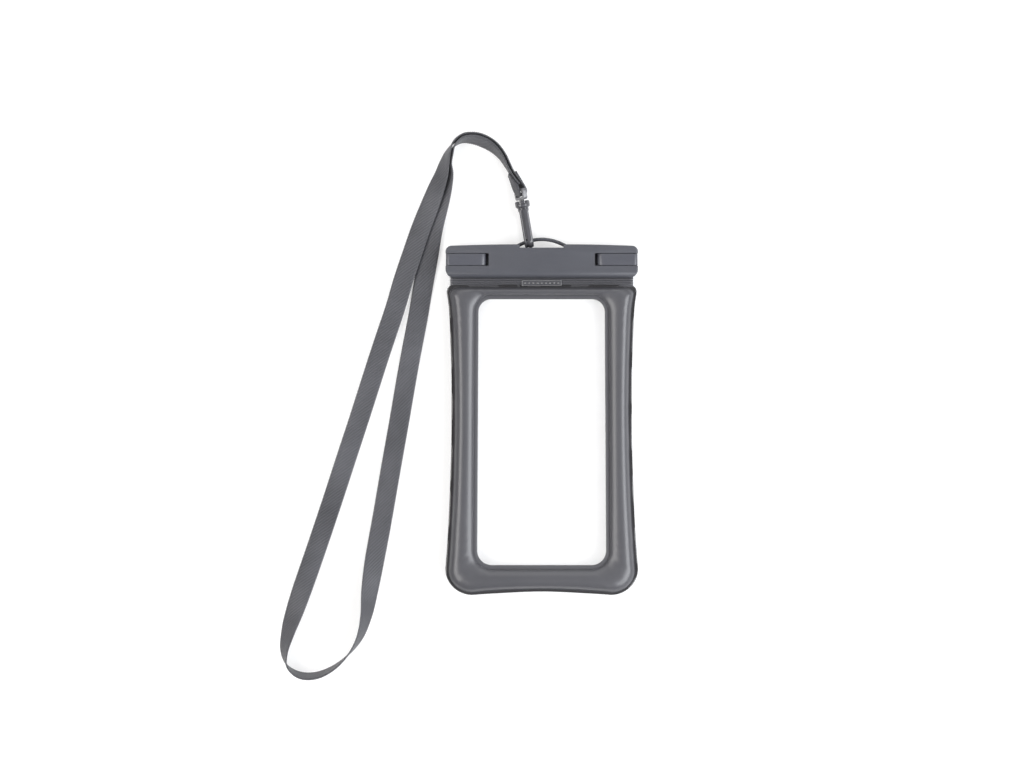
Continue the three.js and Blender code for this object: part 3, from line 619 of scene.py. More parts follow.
def route_curve(points, samples=20):
    """Centripetal Catmull-Rom curve through points whose first three numbers are a place."""
    p = np.array(points, float)
    p = np.concatenate([[2 * p[0] - p[1]], p, [2 * p[-1] - p[-2]]])
    t = np.linspace(0, 1, samples, endpoint=False)[:, None]
    stretches = []
    for a, b, c, d in zip(p, p[1:], p[2:], p[3:]):
        ta, tb, tc = (math.sqrt(np.linalg.norm((v - u)[:3])) for u, v in ((a, b), (b, c), (c, d)))
        slope_b = ((b - a) / ta - (c - a) / (ta + tb) + (c - b) / tb) * tb
        slope_c = ((c - b) / tb - (d - b) / (tb + tc) + (d - c) / tc) * tb
        stretches.append(
            (2 * b - 2 * c + slope_b + slope_c) * t ** 3
            + (-3 * b + 3 * c - 2 * slope_b - slope_c) * t ** 2 + slope_b * t + b
        )
    return np.concatenate([*stretches, p[-2:-1]])


def strap_frames(route, step):
    """Places, width directions and face directions along a route, in millimetres."""
    points = [(x, y, strap_height(gap, roll), roll) for x, y, gap, roll in route]
    fine = route_curve(points)
    line = resampled(fine, int(distances(fine)[-1] / step) + 1)
    tangent = unit(np.gradient(line[:, :3], axis=0))
    level = unit(np.column_stack([-tangent[:, 1], tangent[:, 0], np.zeros(len(line))]))
    upward = np.cross(tangent, level)
    roll = np.radians(line[:, 3])[:, None]
    wide = level * np.cos(roll) + upward * np.sin(roll)
    face = upward * np.cos(roll) - level * np.sin(roll)
    return line[:, :3], wide, face


def webbing_section(half_width, half_thickness, flats=7, rounds=3):
    """Section of a woven band: flat faces and round selvedges, anticlockwise in width and face."""
    run = half_width - half_thickness
    upper = [(x, half_thickness) for x in np.linspace(run, -run, flats)]
    left = [
        (-run - half_thickness * math.sin(a), half_thickness * math.cos(a))
        for a in np.linspace(0, math.pi, rounds + 2)[1:-1]
    ]
    lower = [(x, -half_thickness) for x in np.linspace(-run, run, flats)]
    right = [(-x, -y) for x, y in left]
    return np.array(upper + left + lower + right)


def webbing_band(name, places, wide, face, half_width, half_thickness, taper=1.0):
    """Band of webbing along a line of frames, with the map that its weave follows."""
    section = webbing_section(half_width, half_thickness)
    count = len(section)
    along = distances(places)
    picks = taper * (1 + PICK_SWELL * np.sin(along * 2 * math.pi / SELVEDGE_PITCH))
    points = (
        places[:, None, :]
        + wide[:, None, :] * section[None, :, 0, None] * picks[:, None, None]
        + face[:, None, :] * section[None, :, 1, None]
    ).reshape(-1, 3) * MM
    piece = add_mesh(name, points, capped_faces(len(places), count), webbing, smooth_angle=50)
    mark_weave(piece.data, along * MM, section[:, 0] * MM, count)
    return piece


def mark_weave(mesh, along, across, count):
    """Map of a band in metres, along and across it."""
    layer = mesh.uv_layers.new(name="along_across")
    vertex = np.zeros(len(mesh.loops), int)
    mesh.loops.foreach_get("vertex_index", vertex)
    values = np.column_stack([along[vertex // count], across[vertex % count]])
    layer.data.foreach_set("uv", values.astype(np.float32).ravel())


# The lying strap's waves: length, depth and phase of each
WAVES = ((43.0, 0.42, 0.4), (71.0, 0.8, 2.1), (19.0, 0.07, 4.0))
WAVE_START = 42.0
WAVE_FADE = 60.0
LATCH_TIP = (-68.0, 97.0)
LATCH_ROOM = 30.0
LATCH_CLEARANCE = 0.7


def waved(places, face):
    """Slow waves out of the band's plane, which fade out at its sewn ends and beside the left latch."""
    along = distances(places)
    ends = np.clip((np.minimum(along, along[-1] - along) - WAVE_START) / WAVE_FADE, 0, 1)
    swing = sum(depth * (1 + np.sin(along * 2 * math.pi / length + phase)) for length, depth, phase in WAVES)
    away = np.linalg.norm(places[:, :2] - LATCH_TIP, axis=1) / LATCH_ROOM
    beside = np.exp(-away ** 4)
    lift = np.abs(face[:, 2]) * ends * swing * (1 - beside)
    return places + np.column_stack([-LATCH_CLEARANCE * beside, np.zeros(len(places)), lift])


def lanyard():
    """The strap, with its places, width directions, face directions and length in metres."""
    places, wide, face = strap_frames(STRAP_ROUTE, STRAP_STEP)
    places = waved(places, face)
    strap = webbing_band("neck_strap", places, wide, face, STRAP_WIDTH / 2, STRAP_THICKNESS / 2)
    finished(strap, HOME["lanyard_strap"], "webbing", "lanyard_strap")
    return strap, places, wide, face, distances(places)[-1] * MM


# Webbing tab, standing on edge and leaning with the swivel's eye

HOOK_START = Vector((-12.3, 133.1, 6.4))
HOOK_HEADING = Vector((5.0, -29.6, 0.0)).normalized()
EYE_LEAN = -25
EYE_REACH = 7.6
EYE_STRAND = 1.6
TAB_HEADING = Vector((-0.45, 0.893, 0.0)).normalized()
TAB_MIDDLE = 2.4
TAB_TURN = -1.1
TAB_HALF_HEIGHT = 4.3
TAB_HALF_THICKNESS = 0.6
TAB_LEG = 9.6
TAB_PINCH = 0.2
TAB_PINCH_REACH = 0.3
TAB_STEP = 0.35
TAB_GAP = 0.05
TAB_SMOOTHINGS = 2
TAB_STITCH = {"pitch": 1.3, "length": 1.0, "radius": 0.13}
TAB_STITCH_INSET = 0.8
TAB_STITCH_BOX = (0.7, 7.0)
THREAD_LIFT = 0.02


def tab_axes():
    """The tab's origin at the eye's far strand, its heading, across and up."""
    lean = Matrix.Rotation(math.radians(EYE_LEAN), 3, HOOK_HEADING)
    across = Vector((-TAB_HEADING.y, TAB_HEADING.x, 0))
    origin = HOOK_START + HOOK_HEADING * (EYE_STRAND / 2 - EYE_REACH)
    return origin, lean @ TAB_HEADING, lean @ across, lean @ Vector((0, 0, 1))


def tab_leg(places, wide, face, outward, upward):
    """One leg of the tab, along the outside of one of the strap's ends."""
    near = np.flatnonzero(distances(places) < TAB_LEG)[::3]
    outside = face[near] * np.sign(face[0] @ outward)
    up = wide[near] * np.sign(wide[0] @ upward)
    clear = STRAP_THICKNESS / 2 + TAB_HALF_THICKNESS + TAB_GAP
    return np.column_stack([places[near] + outside * clear, up])


def tab_frames(places, wide, face):
    """Places, width directions and outward directions: down a leg, round the eye and up the other."""
    origin, heading, across, upward = (np.array(v) for v in tab_axes())
    apart = places[0] - places[-1]
    first = tab_leg(places, wide, face, apart, upward)
    second = tab_leg(places[::-1], wide[::-1], face[::-1], -apart, upward)
    side = np.sign(apart @ across)
    turn = []
    for angle in np.linspace(math.pi / 2, math.pi * 1.5, 25):
        back = heading * (TAB_TURN + TAB_MIDDLE * math.cos(angle))
        aside = across * side * TAB_MIDDLE * math.sin(angle)
        turn.append(np.r_[origin + back + aside, upward])
    line = np.concatenate([first[::-1], turn, second])
    line = resampled(line, int(distances(line)[-1] / TAB_STEP) + 1)
    for _ in range(TAB_SMOOTHINGS):
        line[1:-1] = (line[:-2] + line[1:-1] + line[2:]) / 3
    tangent = unit(np.gradient(line[:, :3], axis=0))
    outside = unit(np.cross(tangent, line[:, 3:]))
    up = np.cross(outside, tangent)
    if outside[0] @ apart < 0:
        outside = -outside
    return line[:, :3], up, outside


def webbing_tab(places, up, outside):
    """The tab's band, pinched narrower where it turns through the eye."""
    from_turn = np.abs(np.linspace(-1, 1, len(places)))
    taper = 1 - TAB_PINCH * np.exp(-(from_turn / TAB_PINCH_REACH) ** 2)
    band = webbing_band("strap_tab", places, up, outside, TAB_HALF_HEIGHT, TAB_HALF_THICKNESS, taper)
    face_outwards(band.data)
    return finished(band, HOME["strap_fold"], "webbing", "strap_fold")


def socket_key(tree, name):
    """The identifier of one of a node tree's named inputs."""
    return next(item.identifier for item in tree.interface.items_tree if item.name == name)


def stitch_tree():
    """Node tree that lays stitches along a line: small rounded threads at an even pitch."""
    tree = bpy.data.node_groups.new("stitch_row", "GeometryNodeTree")
    tree.interface.new_socket("Line", in_out="INPUT", socket_type="NodeSocketGeometry")
    for name in ("Pitch", "Stitch Length", "Thread Radius"):
        tree.interface.new_socket(name, in_out="INPUT", socket_type="NodeSocketFloat")
    tree.interface.new_socket("Thread", in_out="INPUT", socket_type="NodeSocketMaterial")
    tree.interface.new_socket("Stitches", in_out="OUTPUT", socket_type="NodeSocketGeometry")

    given = tree_node(tree, "NodeGroupInput")
    curve = tree_node(tree, "GeometryNodeMeshToCurve", links={"Mesh": given.outputs["Line"]})
    points = tree_node(tree, "GeometryNodeResampleCurve", {"mode": "LENGTH"}, {
        "Curve": curve.outputs["Curve"], "Length": given.outputs["Pitch"],
    })
    ball = tree_node(tree, "GeometryNodeMeshUVSphere", {"Segments": 8, "Rings": 6, "Radius": 0.5})
    width = tree_node(tree, "ShaderNodeMath", {"operation": "MULTIPLY", 1: 2}, {
        0: given.outputs["Thread Radius"],
    })
    sizes = tree_node(tree, "ShaderNodeCombineXYZ", links={
        "X": width.outputs[0], "Y": width.outputs[0], "Z": given.outputs["Stitch Length"],
    })
    tangent = tree_node(tree, "GeometryNodeInputTangent")
    turn = tree_node(tree, "FunctionNodeAlignRotationToVector", {"axis": "Z"}, {
        "Vector": tangent.outputs[0],
    })
    placed = tree_node(tree, "GeometryNodeInstanceOnPoints", links={
        "Points": points.outputs["Curve"], "Instance": ball.outputs["Mesh"],
        "Rotation": turn.outputs[0], "Scale": sizes.outputs[0],
    })
    real = tree_node(tree, "GeometryNodeRealizeInstances", links={"Geometry": placed.outputs[0]})
    painted = tree_node(tree, "GeometryNodeSetMaterial", links={
        "Geometry": real.outputs[0], "Material": given.outputs["Thread"],
    })
    tree_node(tree, "NodeGroupOutput", links={"Stitches": painted.outputs[0]})
    return tree


def stitched(name, lines, tree, pitch, length, radius, body, material=thread, slot_name="webbing"):
    """Rows of stitches along polylines given in millimetres, as one mesh."""
    points = [tuple(p * MM) for line in lines for p in line]
    edges = []
    first = 0
    for line in lines:
        edges += [(first + i, first + i + 1) for i in range(len(line) - 1)]
        first += len(line)
    mesh = bpy.data.meshes.new(name)
    mesh.from_pydata(points, edges, [])
    piece = bpy.data.objects.new(name, mesh)
    bpy.context.scene.collection.objects.link(piece)
    nodes = piece.modifiers.new("stitches", "NODES")
    nodes.node_group = tree
    values = {
        "Pitch": pitch * MM, "Stitch Length": length * MM, "Thread Radius": radius * MM,
        "Thread": material,
    }
    for key, value in values.items():
        nodes[socket_key(tree, key)] = value
    piece.update_tag()
    baked(piece)
    smooth(piece.data, angle=60)
    return finished(piece, body, slot_name)


def tab_stitches(places, up, outside, tree):
    """A sewn box on the outer face of each of the tab's legs."""
    surface = places + outside * (TAB_HALF_THICKNESS + THREAD_LIFT)
    reach = TAB_HALF_HEIGHT - TAB_STITCH_INSET
    near, far = (int(distance / TAB_STEP) for distance in TAB_STITCH_BOX)
    rows = []
    for station in (near, far, -far, -near):
        rows.append([surface[station] + up[station] * level for level in np.linspace(-reach, reach, 12)])
    for stretch in (slice(near, far), slice(-far, -near)):
        for level in (-reach, reach):
            rows.append(list((surface + up * level)[stretch]))
    return stitched("tab_stitches", rows, tree, body=HOME["strap_fold"], **TAB_STITCH)


def selvedge_loops(places, wide, tree):
    """The weft's small loops along both edges of the strap."""
    inset = STRAP_WIDTH / 2 - SELVEDGE_INSET
    rows = [(places + wide * side * inset)[::3] for side in (-1, 1)]
    return stitched(
        "strap_selvedges", rows, tree, SELVEDGE_PITCH, SELVEDGE_LOOP, SELVEDGE_RADIUS,
        HOME["lanyard_strap"],
    )


# Hook

SPINE_START = 5.85
SPINE_TURN = 23.9
SPINE_LIP = 19.3
HOOK_HALF_HEIGHT = 5.4
SPINE_HALF_WIDTH = 2.85
SPINE_CROWN = 0.4
SPINE_SIDE = 0.9
SPINE_SQUARENESS = 2.5
SPINE_UNDERSIDE = -1.2
SPINE_GROOVE = (-0.95, 0.5, 0.85)
COLLAR_FILL = (0.3, 2.15)
COLLAR_FILL_RADII = (1.95, 3.9)


def hook_place(x, y, z):
    """A place in the hook's own frame: along its axis, from its spine to its gate, and across."""
    down = Vector((0, 0, -1))
    return np.array(HOOK_START + HOOK_HEADING * x + down * y + HOOK_HEADING.cross(down) * z)


def spine_section():
    """Crowned section with the groove in its left third, as pairs of across and outward."""
    middle, half_width, depth = SPINE_GROOVE
    across = np.linspace(-1, 1, 41)
    arch = (1 - np.abs(across) ** SPINE_SQUARENESS) ** (1 / SPINE_SQUARENESS)
    z = across * SPINE_HALF_WIDTH
    crown = (SPINE_CROWN + SPINE_SIDE) * arch - SPINE_SIDE
    crown -= depth * np.exp(-((z - middle) / half_width) ** 4)
    return [*zip(z, crown), (SPINE_HALF_WIDTH, SPINE_UNDERSIDE), (-SPINE_HALF_WIDTH, SPINE_UNDERSIDE)]


def hook_spine():
    """Crowned cover of the hook's spine and bend."""
    rail = [(x, -HOOK_HALF_HEIGHT, 0.0, -1.0) for x in np.linspace(SPINE_START, SPINE_TURN, 12)]
    for angle in np.linspace(-math.pi / 2, math.pi / 2, 25)[1:]:
        out = (math.cos(angle), math.sin(angle))
        rail.append((SPINE_TURN + HOOK_HALF_HEIGHT * out[0], HOOK_HALF_HEIGHT * out[1], *out))
    rail += [(x, HOOK_HALF_HEIGHT, 0.0, 1.0) for x in np.linspace(SPINE_TURN, SPINE_LIP, 5)[1:]]
    section = spine_section()
    points = [hook_place(x + nx * h, y + ny * h, z) for x, y, nx, ny in rail for z, h in section]
    faces = capped_faces(len(rail), len(section))
    spine = add_mesh("hook_spine", np.array(points) * MM, faces, hook_plastic, smooth_angle=40)
    face_outwards(spine.data)
    return finished(spine, HOME["snap_hook"], "hook")


def collar_fill():
    """Recessed ring between the collar's prongs, round the swivel's post."""
    low, high = COLLAR_FILL
    bore, rim = COLLAR_FILL_RADII
    turns = np.linspace(0, 2 * math.pi, 40, endpoint=False)
    loops = [
        [hook_place(x, radius * math.cos(a), radius * math.sin(a)) for a in turns]
        for x, radius in ((low, bore), (low, rim), (high, rim), (high, bore))
    ]
    faces = band_faces(len(loops), len(turns), closed=True)
    ring = add_mesh("collar_ring", np.concatenate(loops) * MM, faces, hook_plastic, smooth_angle=40)
    face_outwards(ring.data)
    return finished(ring, HOME["snap_hook"], "hook")


# Air rings

TUBE_ROWS_OVER = 30
TUBE_ROWS_UNDER = 12
LAND_LIP = 0.12
EDGE_SHARE = 0.6
EDGE_TRIM = 0.0012
EDGE_TRIM_PITCH = 7.7
SEAM_FADE = 0.35

# The welded seam's waves: pitch, depth and how often the phase counts
SEAM_WAVES = ((5.1, 0.16, 1), (2.3, 0.1, 2))

# Radial puckers round the window's corners
PUCKER_PLACES = ((35.2, 64.4), (36.0, -83.9))
PUCKER_DEPTH = 0.12
PUCKER_RADIUS = 14
PUCKER_WIDTH = 9
PUCKERS = 16

film_seam = WELD_LEVEL + FILM_SPACING / 2
film_window = WELD_LEVEL + POCKET_DEPTH / 2
skin_seam = film_seam + FILM_THICKNESS + WELD_GAP
skin_land = film_window + FILM_THICKNESS + WELD_GAP
crown_level = WELD_LEVEL + RING_CROWN - SKIN_THICKNESS


edge_run = distances(pouch_edge)


def tube_loop(angle, thickness, inset, puckers):
    """One loop of the tube's wall, by its angle from the window round to the seam."""
    share = 0.5 - (0.5 - inset) * math.cos(angle)
    weld = skin_land + (skin_seam - skin_land) * share
    rise = (crown_level - weld) * math.sin(angle) ** TUBE_FULLNESS
    plan = land_edge + (tube_edge - land_edge) * share
    return at_level(plan, weld + rise + thickness - puckers * math.sin(angle) ** 2)


def corner_puckers():
    """Depth of the faint puckers where the tube turns the window's corners."""
    corners = [(side * x, y) for side in (-1, 1) for x, y in PUCKER_PLACES]
    total = np.zeros(LOOP_POINTS)
    middle = (land_edge + tube_edge) / 2
    for number, corner in enumerate(corners):
        offset = middle - corner
        turn = np.arctan2(offset[:, 1], offset[:, 0])
        near = np.exp(-((np.linalg.norm(offset, axis=1) - PUCKER_RADIUS) / PUCKER_WIDTH) ** 2)
        total += PUCKER_DEPTH * near * (0.5 + 0.5 * np.sin(turn * PUCKERS + number * 1.7))
    return total


def air_ring(name, node, downwards):
    """Inflated dark sheet round the window: its land, its tube and its welded seam."""
    phase = 1.3 if downwards else 0.0
    puckers = corner_puckers()
    waves = sum(depth * np.sin(edge_run / pitch + times * phase) for pitch, depth, times in SEAM_WAVES)
    outer = pouch_edge * (1 - EDGE_TRIM * (1 + np.sin(edge_run / EDGE_TRIM_PITCH))[:, None])
    over = [at_level(window_edge, skin_land + SKIN_THICKNESS * EDGE_SHARE)]
    over.append(at_level(window_edge + (land_edge - window_edge) * LAND_LIP, skin_land + SKIN_THICKNESS))
    under = [at_level(window_edge, skin_land)]
    for i in range(TUBE_ROWS_OVER + 1):
        over.append(tube_loop(math.pi * i / TUBE_ROWS_OVER, SKIN_THICKNESS, 0, puckers))
    for i in range(TUBE_ROWS_UNDER + 1):
        under.append(tube_loop(math.pi * i / TUBE_ROWS_UNDER, 0, 0.03, puckers))
    over.append(at_level(tube_edge + (outer - tube_edge) * 0.5, skin_seam + SKIN_THICKNESS + waves * 0.5))
    over.append(at_level(tube_edge + (outer - tube_edge) * 0.95, skin_seam + SKIN_THICKNESS + waves))
    over.append(at_level(outer, skin_seam + SKIN_THICKNESS * EDGE_SHARE + waves))
    under.append(at_level(outer, skin_seam + waves * 0.2))
    loops = np.concatenate(under[::-1] + over)
    if downwards:
        loops[:, 2] = 2 * WELD_LEVEL - loops[:, 2]
    faces = band_faces(len(under) + len(over), LOOP_POINTS, closed=True)
    if downwards:
        faces = [face[::-1] for face in faces]
    ring = add_mesh(name, loops * MM, faces, skin_sheet, smooth_angle=60)
    mark_seam(ring.data, len(under) + len(over))
    return finished(ring, HOME[node], "skin", node)


def mark_seam(mesh, rows):
    """Marks the ring's welded outer seam, which is glossier than the rest."""
    seam = np.zeros((rows, LOOP_POINTS))
    seam[0] = 1
    seam[-3:] = 1
    seam[-4] = SEAM_FADE
    layer = mesh.attributes.new("seam", "FLOAT", "POINT")
    layer.data.foreach_set("value", seam.astype(np.float32).ravel())


# Neck and pad

RIB_PLACES = (81.5, 83.0, 84.5)
RIB_RADIUS = 0.45
RIB_FLATNESS = 1.3
RIB_ROUNDNESS = 0.8
RIB_FADE = 1.2
NECK_OVERLAP = 0.3
NECK_STATIONS = 90

# The neck's waves: pitch and depth of each
NECK_WAVES = ((3.7, 0.06), (1.9, 0.05))


def neck_band(name, downwards):
    """Flat dark neck with its three welded ribs, running under the bar's rounded edge."""
    low = POUCH["top"] - FLANGE_WIDTH + NECK_OVERLAP
    top = skin_seam + SKIN_THICKNESS
    upper = [(low, top)]
    for y in RIB_PLACES:
        for angle in np.linspace(math.pi, 0, 9):
            rise = top + RIB_RADIUS * math.sin(angle) ** RIB_ROUNDNESS
            upper.append((y + RIB_RADIUS * RIB_FLATNESS * math.cos(angle), rise))
    upper.append((NECK_TOP, top))
    profile = np.array(upper + [(NECK_TOP, skin_seam), (low, skin_seam)])
    stations = np.linspace(-NECK_HALF, NECK_HALF, NECK_STATIONS)
    rows = []
    for x in stations:
        wave = sum(depth * math.sin(x / pitch) for pitch, depth in NECK_WAVES)
        ends = min(1.0, (NECK_HALF - abs(x)) / RIB_FADE)
        level = skin_seam + (profile[:, 1] - skin_seam) * np.where(profile[:, 1] > top, ends, 1)
        level = np.where(profile[:, 1] > top, np.maximum(level, top), profile[:, 1])
        rows.append(np.column_stack([np.full(len(profile), x), profile[:, 0] + wave, level]))
    points = np.concatenate(rows)
    if downwards:
        points[:, 2] = 2 * WELD_LEVEL - points[:, 2]
    faces = capped_faces(NECK_STATIONS, len(profile))
    band = add_mesh(name, points * MM, faces, skin_sheet, smooth_angle=50)
    face_outwards(band.data)
    return finished(band, "pouch", "skin")


PAD_MIDDLE = 82.0
PAD_TOP = 9.05
PIPS = {"pitch": 2.55, "length": 1.5, "radius": 0.45}
PIP_COUNT = 9
PIP_LIFT = 0.12
BEAD = {"pitch": 0.5, "length": 0.9, "radius": 0.17}
BEAD_HALF_WIDTH = 12.05
BEAD_HALF_HEIGHT = 1.55


def pad_relief(tree):
    """Row of plain raised pips on the pad, inside a thin bead round its edge, both painted lighter than the
    pad as a highlight.
    """
    reach = PIPS["pitch"] * (PIP_COUNT - 1) / 2
    row = [np.array([x, PAD_MIDDLE, PAD_TOP + PIP_LIFT]) for x in np.linspace(-reach, reach, PIP_COUNT)]
    edge = [
        np.array([x * BEAD_HALF_WIDTH, PAD_MIDDLE + y * BEAD_HALF_HEIGHT, PAD_TOP])
        for x, y in ((-1, -1), (1, -1), (1, 1), (-1, 1), (-1, -1))
    ]
    for name, line, sizes in (("pad_pips", row, PIPS), ("pad_bead", edge, BEAD)):
        stitched(name, [line], tree, body="pouch", material=pad_relief_painted_highlight, slot_name="skin", **sizes)


# Clear sheets

FILM_ROWS = 20
FILM_CORE = 0.05
FILM_SLOPE_ROWS = 10
RIPPLE_DEPTH = 0.05
RIPPLE_ACROSS = 9
RIPPLE_ALONG = 13


def film_level(share):
    """The sheet's level from the window, at 0, out to the seam, at 1."""
    fall = (1 - math.cos(math.pi * share)) / 2
    return film_window + (film_seam - film_window) * fall


def clear_window(name, node, downwards):
    """Clear sheet: flat and faintly rippled in the window, and sloping out to the seam."""
    middle = np.array([(0.0, (WINDOW["top"] + WINDOW["bottom"]) / 2)])
    shares = np.linspace(FILM_CORE, 1, FILM_ROWS)
    plans = [(middle + (window_edge - middle) * share, film_window) for share in shares]
    for i in range(FILM_SLOPE_ROWS + 1):
        share = i / FILM_SLOPE_ROWS
        plans.append((land_edge + (tube_edge - land_edge) * share, film_level(share)))
    plans.append((pouch_edge, film_seam))
    under = [at_level(plan, level) for plan, level in plans]
    over = [at_level(plan, level + FILM_THICKNESS) for plan, level in plans]
    loops = over + under[::-1]
    points = np.concatenate(loops)
    phase = 2.1 if downwards else 0.0
    ripple = np.sin(points[:, 0] / RIPPLE_ACROSS + phase) * np.sin(points[:, 1] / RIPPLE_ALONG)
    inside = np.abs(points[:, 0]) < WINDOW["sides"][-1][0]
    points[:, 2] += np.where(inside, RIPPLE_DEPTH * ripple, 0)
    centres = np.array([[*middle[0], film_window + FILM_THICKNESS], [*middle[0], film_window]])
    points = np.concatenate([points, centres])
    faces = band_faces(len(loops), LOOP_POINTS, closed=False)
    top_pole = len(points) - 2
    low_pole = len(points) - 1
    last = (len(loops) - 1) * LOOP_POINTS
    for here in range(LOOP_POINTS):
        after = (here + 1) % LOOP_POINTS
        faces.append([top_pole, after, here])
        faces.append([low_pole, last + here, last + after])
    if downwards:
        points[:, 2] = 2 * WELD_LEVEL - points[:, 2]
    sheet = add_mesh(name, points * MM, faces, clear_sheet, smooth_angle=40)
    face_outwards(sheet.data)
    return finished(sheet, HOME[node], "film", node)


def clear_lip(name, downwards):
    """The clear sheet's lip, which shows at the two ends of the neck and runs into the bar."""
    low = POUCH["top"] - FLANGE_WIDTH
    levels = (film_seam, film_seam + FILM_THICKNESS)
    if downwards:
        levels = tuple(2 * WELD_LEVEL - z for z in levels[::-1])
    corners = [(x, y, z) for z in levels for x, y in (
        (-NECK_FILM_HALF, low), (NECK_FILM_HALF, low),
        (NECK_FILM_HALF, FILM_LIP_TOP), (-NECK_FILM_HALF, FILM_LIP_TOP),
    )]
    faces = [(3, 2, 1, 0), (4, 5, 6, 7), (0, 1, 5, 4), (1, 2, 6, 5), (2, 3, 7, 6), (3, 0, 4, 7)]
    lip = add_mesh(name, np.array(corners) * MM, faces, clear_edge, smooth_angle=30)
    rounding = lip.modifiers.new("rounded_edges", "BEVEL")
    rounding.width = LIP_ROUNDING * MM
    rounding.segments = 2
    baked(lip)
    smooth(lip.data, angle=40)
    return finished(lip, "pouch", "film")


# Stage

WHITE = (1, 1, 1, 1)
FLOOR_HALF = 3.0
FLOOR_DROP = 0.0003
FLOOR_TONE = (0.8, 0.8, 0.8, 1)
FLOOR_SEEN_TONE = (0.5, 0.5, 0.5, 1)
FLOOR_GLOW = 0.54
SKY_STRENGTH = 0.18
SKY_SLOPE = 0.09

# Place, length and height, watts and colour of each lamp
SOFTBOXES = {
    "left_softbox": ((-1.05, -0.2, 1.2), (1.7, 0.74), 23, (1.0, 0.98, 0.96)),
    "right_softbox": ((1.15, -0.4, 1.05), (2.1, 0.82), 45, (0.95, 0.97, 1.0)),
    "top_softbox": ((0, 1.3, 1.2), (2.0, 1.1), 11, (1.0, 1.0, 1.0)),
}


def add_softbox(name, place, size, power, colour):
    """Area lamp that faces the origin."""
    data = bpy.data.lights.new(name, "AREA")
    data.shape = "RECTANGLE"
    data.size, data.size_y = size
    data.energy = power
    data.color = colour
    lamp = bpy.data.objects.new(name, data)
    lamp.location = place
    lamp.rotation_mode = "QUATERNION"
    lamp.rotation_quaternion = (-Vector(place)).to_track_quat("-Z", "Y")
    bpy.context.scene.collection.objects.link(lamp)


def floor_finish():
    """White ground: bright to the camera, in gloss and through the clear sheets, with its shadow kept."""
    material = bpy.data.materials.new("white_ground")
    material.use_nodes = True
    tree = material.node_tree
    tree.nodes.clear()
    plain = tree_node(tree, "ShaderNodeBsdfDiffuse", {"Color": FLOOR_TONE})
    shaded = tree_node(tree, "ShaderNodeBsdfDiffuse", {"Color": FLOOR_SEEN_TONE})
    glow = tree_node(tree, "ShaderNodeEmission", {"Color": WHITE, "Strength": FLOOR_GLOW})
    seen = tree_node(tree, "ShaderNodeAddShader", links={0: shaded.outputs[0], 1: glow.outputs[0]})
    path = tree_node(tree, "ShaderNodeLightPath")
    either = tree_node(tree, "ShaderNodeMath", {"operation": "MAXIMUM"}, {
        0: path.outputs["Is Camera Ray"], 1: path.outputs["Is Glossy Ray"],
    })
    through = tree_node(tree, "ShaderNodeMath", {"operation": "MAXIMUM"}, {
        0: either.outputs[0], 1: path.outputs["Is Transmission Ray"],
    })
    choice = tree_node(tree, "ShaderNodeMixShader", links={
        "Fac": through.outputs[0], 1: plain.outputs[0], 2: seen.outputs[0],
    })
    tree_node(tree, "ShaderNodeOutputMaterial", links={"Surface": choice.outputs[0]})
    return material


def add_floor():
    corners = [(x * FLOOR_HALF, y * FLOOR_HALF, 0) for x, y in ((-1, -1), (1, -1), (1, 1), (-1, 1))]
    floor = add_mesh("white_floor", corners, [(0, 1, 2, 3)], floor_finish())
    floor.location.z = -FLOOR_DROP


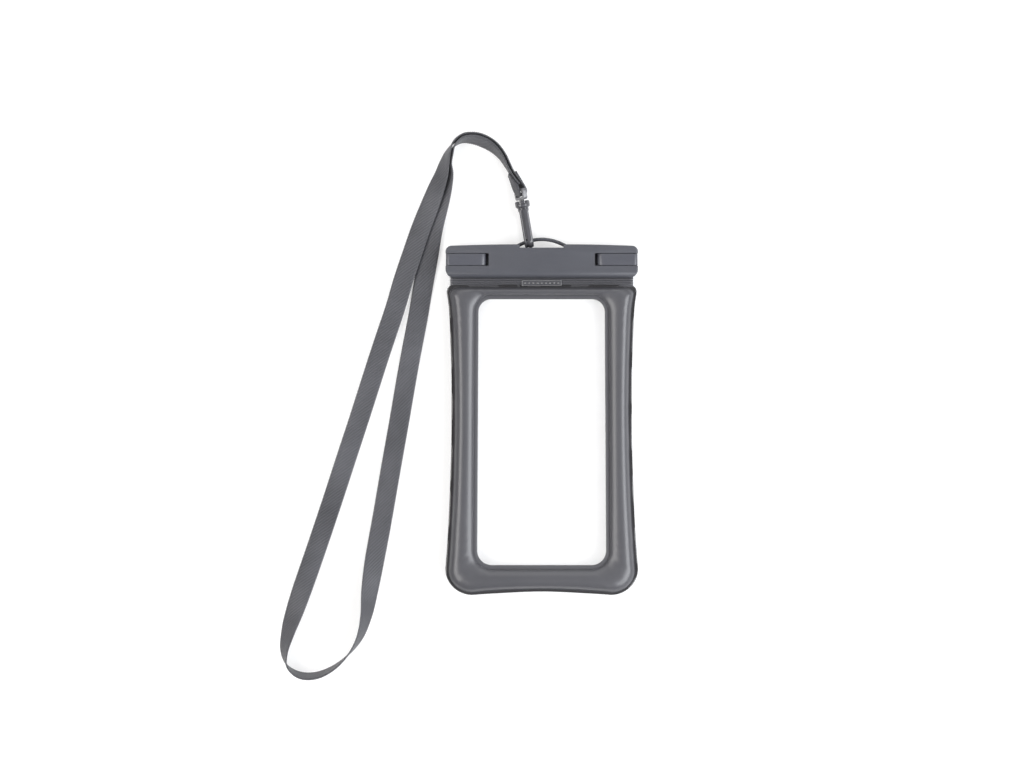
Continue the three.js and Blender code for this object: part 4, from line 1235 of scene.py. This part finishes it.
def add_sky():
    """Studio surroundings: white to the camera, and dim light that grows towards the bar's side."""
    world = bpy.data.worlds.new("studio")
    bpy.context.scene.world = world
    world.use_nodes = True
    tree = world.node_tree
    tree.nodes.clear()
    way = tree_node(tree, "ShaderNodeTexCoord")
    parts = tree_node(tree, "ShaderNodeSeparateXYZ", links={0: way.outputs["Generated"]})
    slope = {"operation": "MULTIPLY_ADD", 1: SKY_SLOPE, 2: SKY_STRENGTH}
    strength = tree_node(tree, "ShaderNodeMath", slope, {0: parts.outputs["Y"]})
    dim = tree_node(tree, "ShaderNodeBackground", {"Color": WHITE}, {"Strength": strength.outputs[0]})
    bright = tree_node(tree, "ShaderNodeBackground", {"Color": WHITE, "Strength": 1.0})
    path = tree_node(tree, "ShaderNodeLightPath")
    choice = tree_node(tree, "ShaderNodeMixShader", links={
        "Fac": path.outputs["Is Camera Ray"], 1: dim.outputs[0], 2: bright.outputs[0],
    })
    tree_node(tree, "ShaderNodeOutputWorld", links={"Surface": choice.outputs[0]})


def add_stage():
    add_floor()
    add_sky()
    bpy.context.scene.view_settings.view_transform = "Standard"
    for name, settings in SOFTBOXES.items():
        add_softbox(name, *settings)


add_camera()
strap, strap_places, strap_wide, strap_face, strap_length = lanyard()
strap_line = strap_places * MM
stitch_rows = stitch_tree()
tab_line = tab_frames(strap_places, strap_wide, strap_face)
tab = webbing_tab(*tab_line)
stitches = tab_stitches(*tab_line, stitch_rows)
selvedges = selvedge_loops(strap_places, strap_wide, stitch_rows)
air_ring("front_ring_skin", "front_air_ring", False)
air_ring("back_ring_skin", "back_air_ring", True)
neck_band("front_neck_band", False)
neck_band("back_neck_band", True)
pad_relief(stitch_rows)
clear_window("front_clear_sheet", "front_film", False)
clear_window("back_clear_sheet", "back_film", True)
clear_lip("front_clear_lip", False)
clear_lip("back_clear_lip", True)
dressed("back_jaw", "bar_back_shell", bar_plastic, "bar", 0.35)
dressed("front_jaw", "bar_front_shell", bar_plastic, "bar", 0.35)
dressed("seal_strip", "bar_seal", seal_rubber, "seal", 0.15)
dressed("neck_pad", "raised_neck_pad", pad_sheet, "skin", 0.12)
for side in ("left", "right"):
    dressed(f"{side}_latch", f"{side}_swing_latch", latch_plastic, "latch", 0.3)
    dressed(f"{side}_latch_pin", f"{side}_hinge_pin", steel, "steel", 0.2)
dressed("snap_hook", "hook_body", hook_plastic, "hook", 0.35, segments=3, slimmer=0.12)
dressed("hook_gate", "hook_spring_gate", hook_plastic, "hook", 0.25)
dressed("gate_pin", "hook_gate_pin", steel, "steel", 0.15)
eye = dressed("swivel_eye", "swivel_loop", eye_plastic, "hook", 0.72, segments=4)
spine = hook_spine()
collar = collar_fill()
strap_line[::10].tolist() + [strap_line[-1].tolist()]
add_stage()
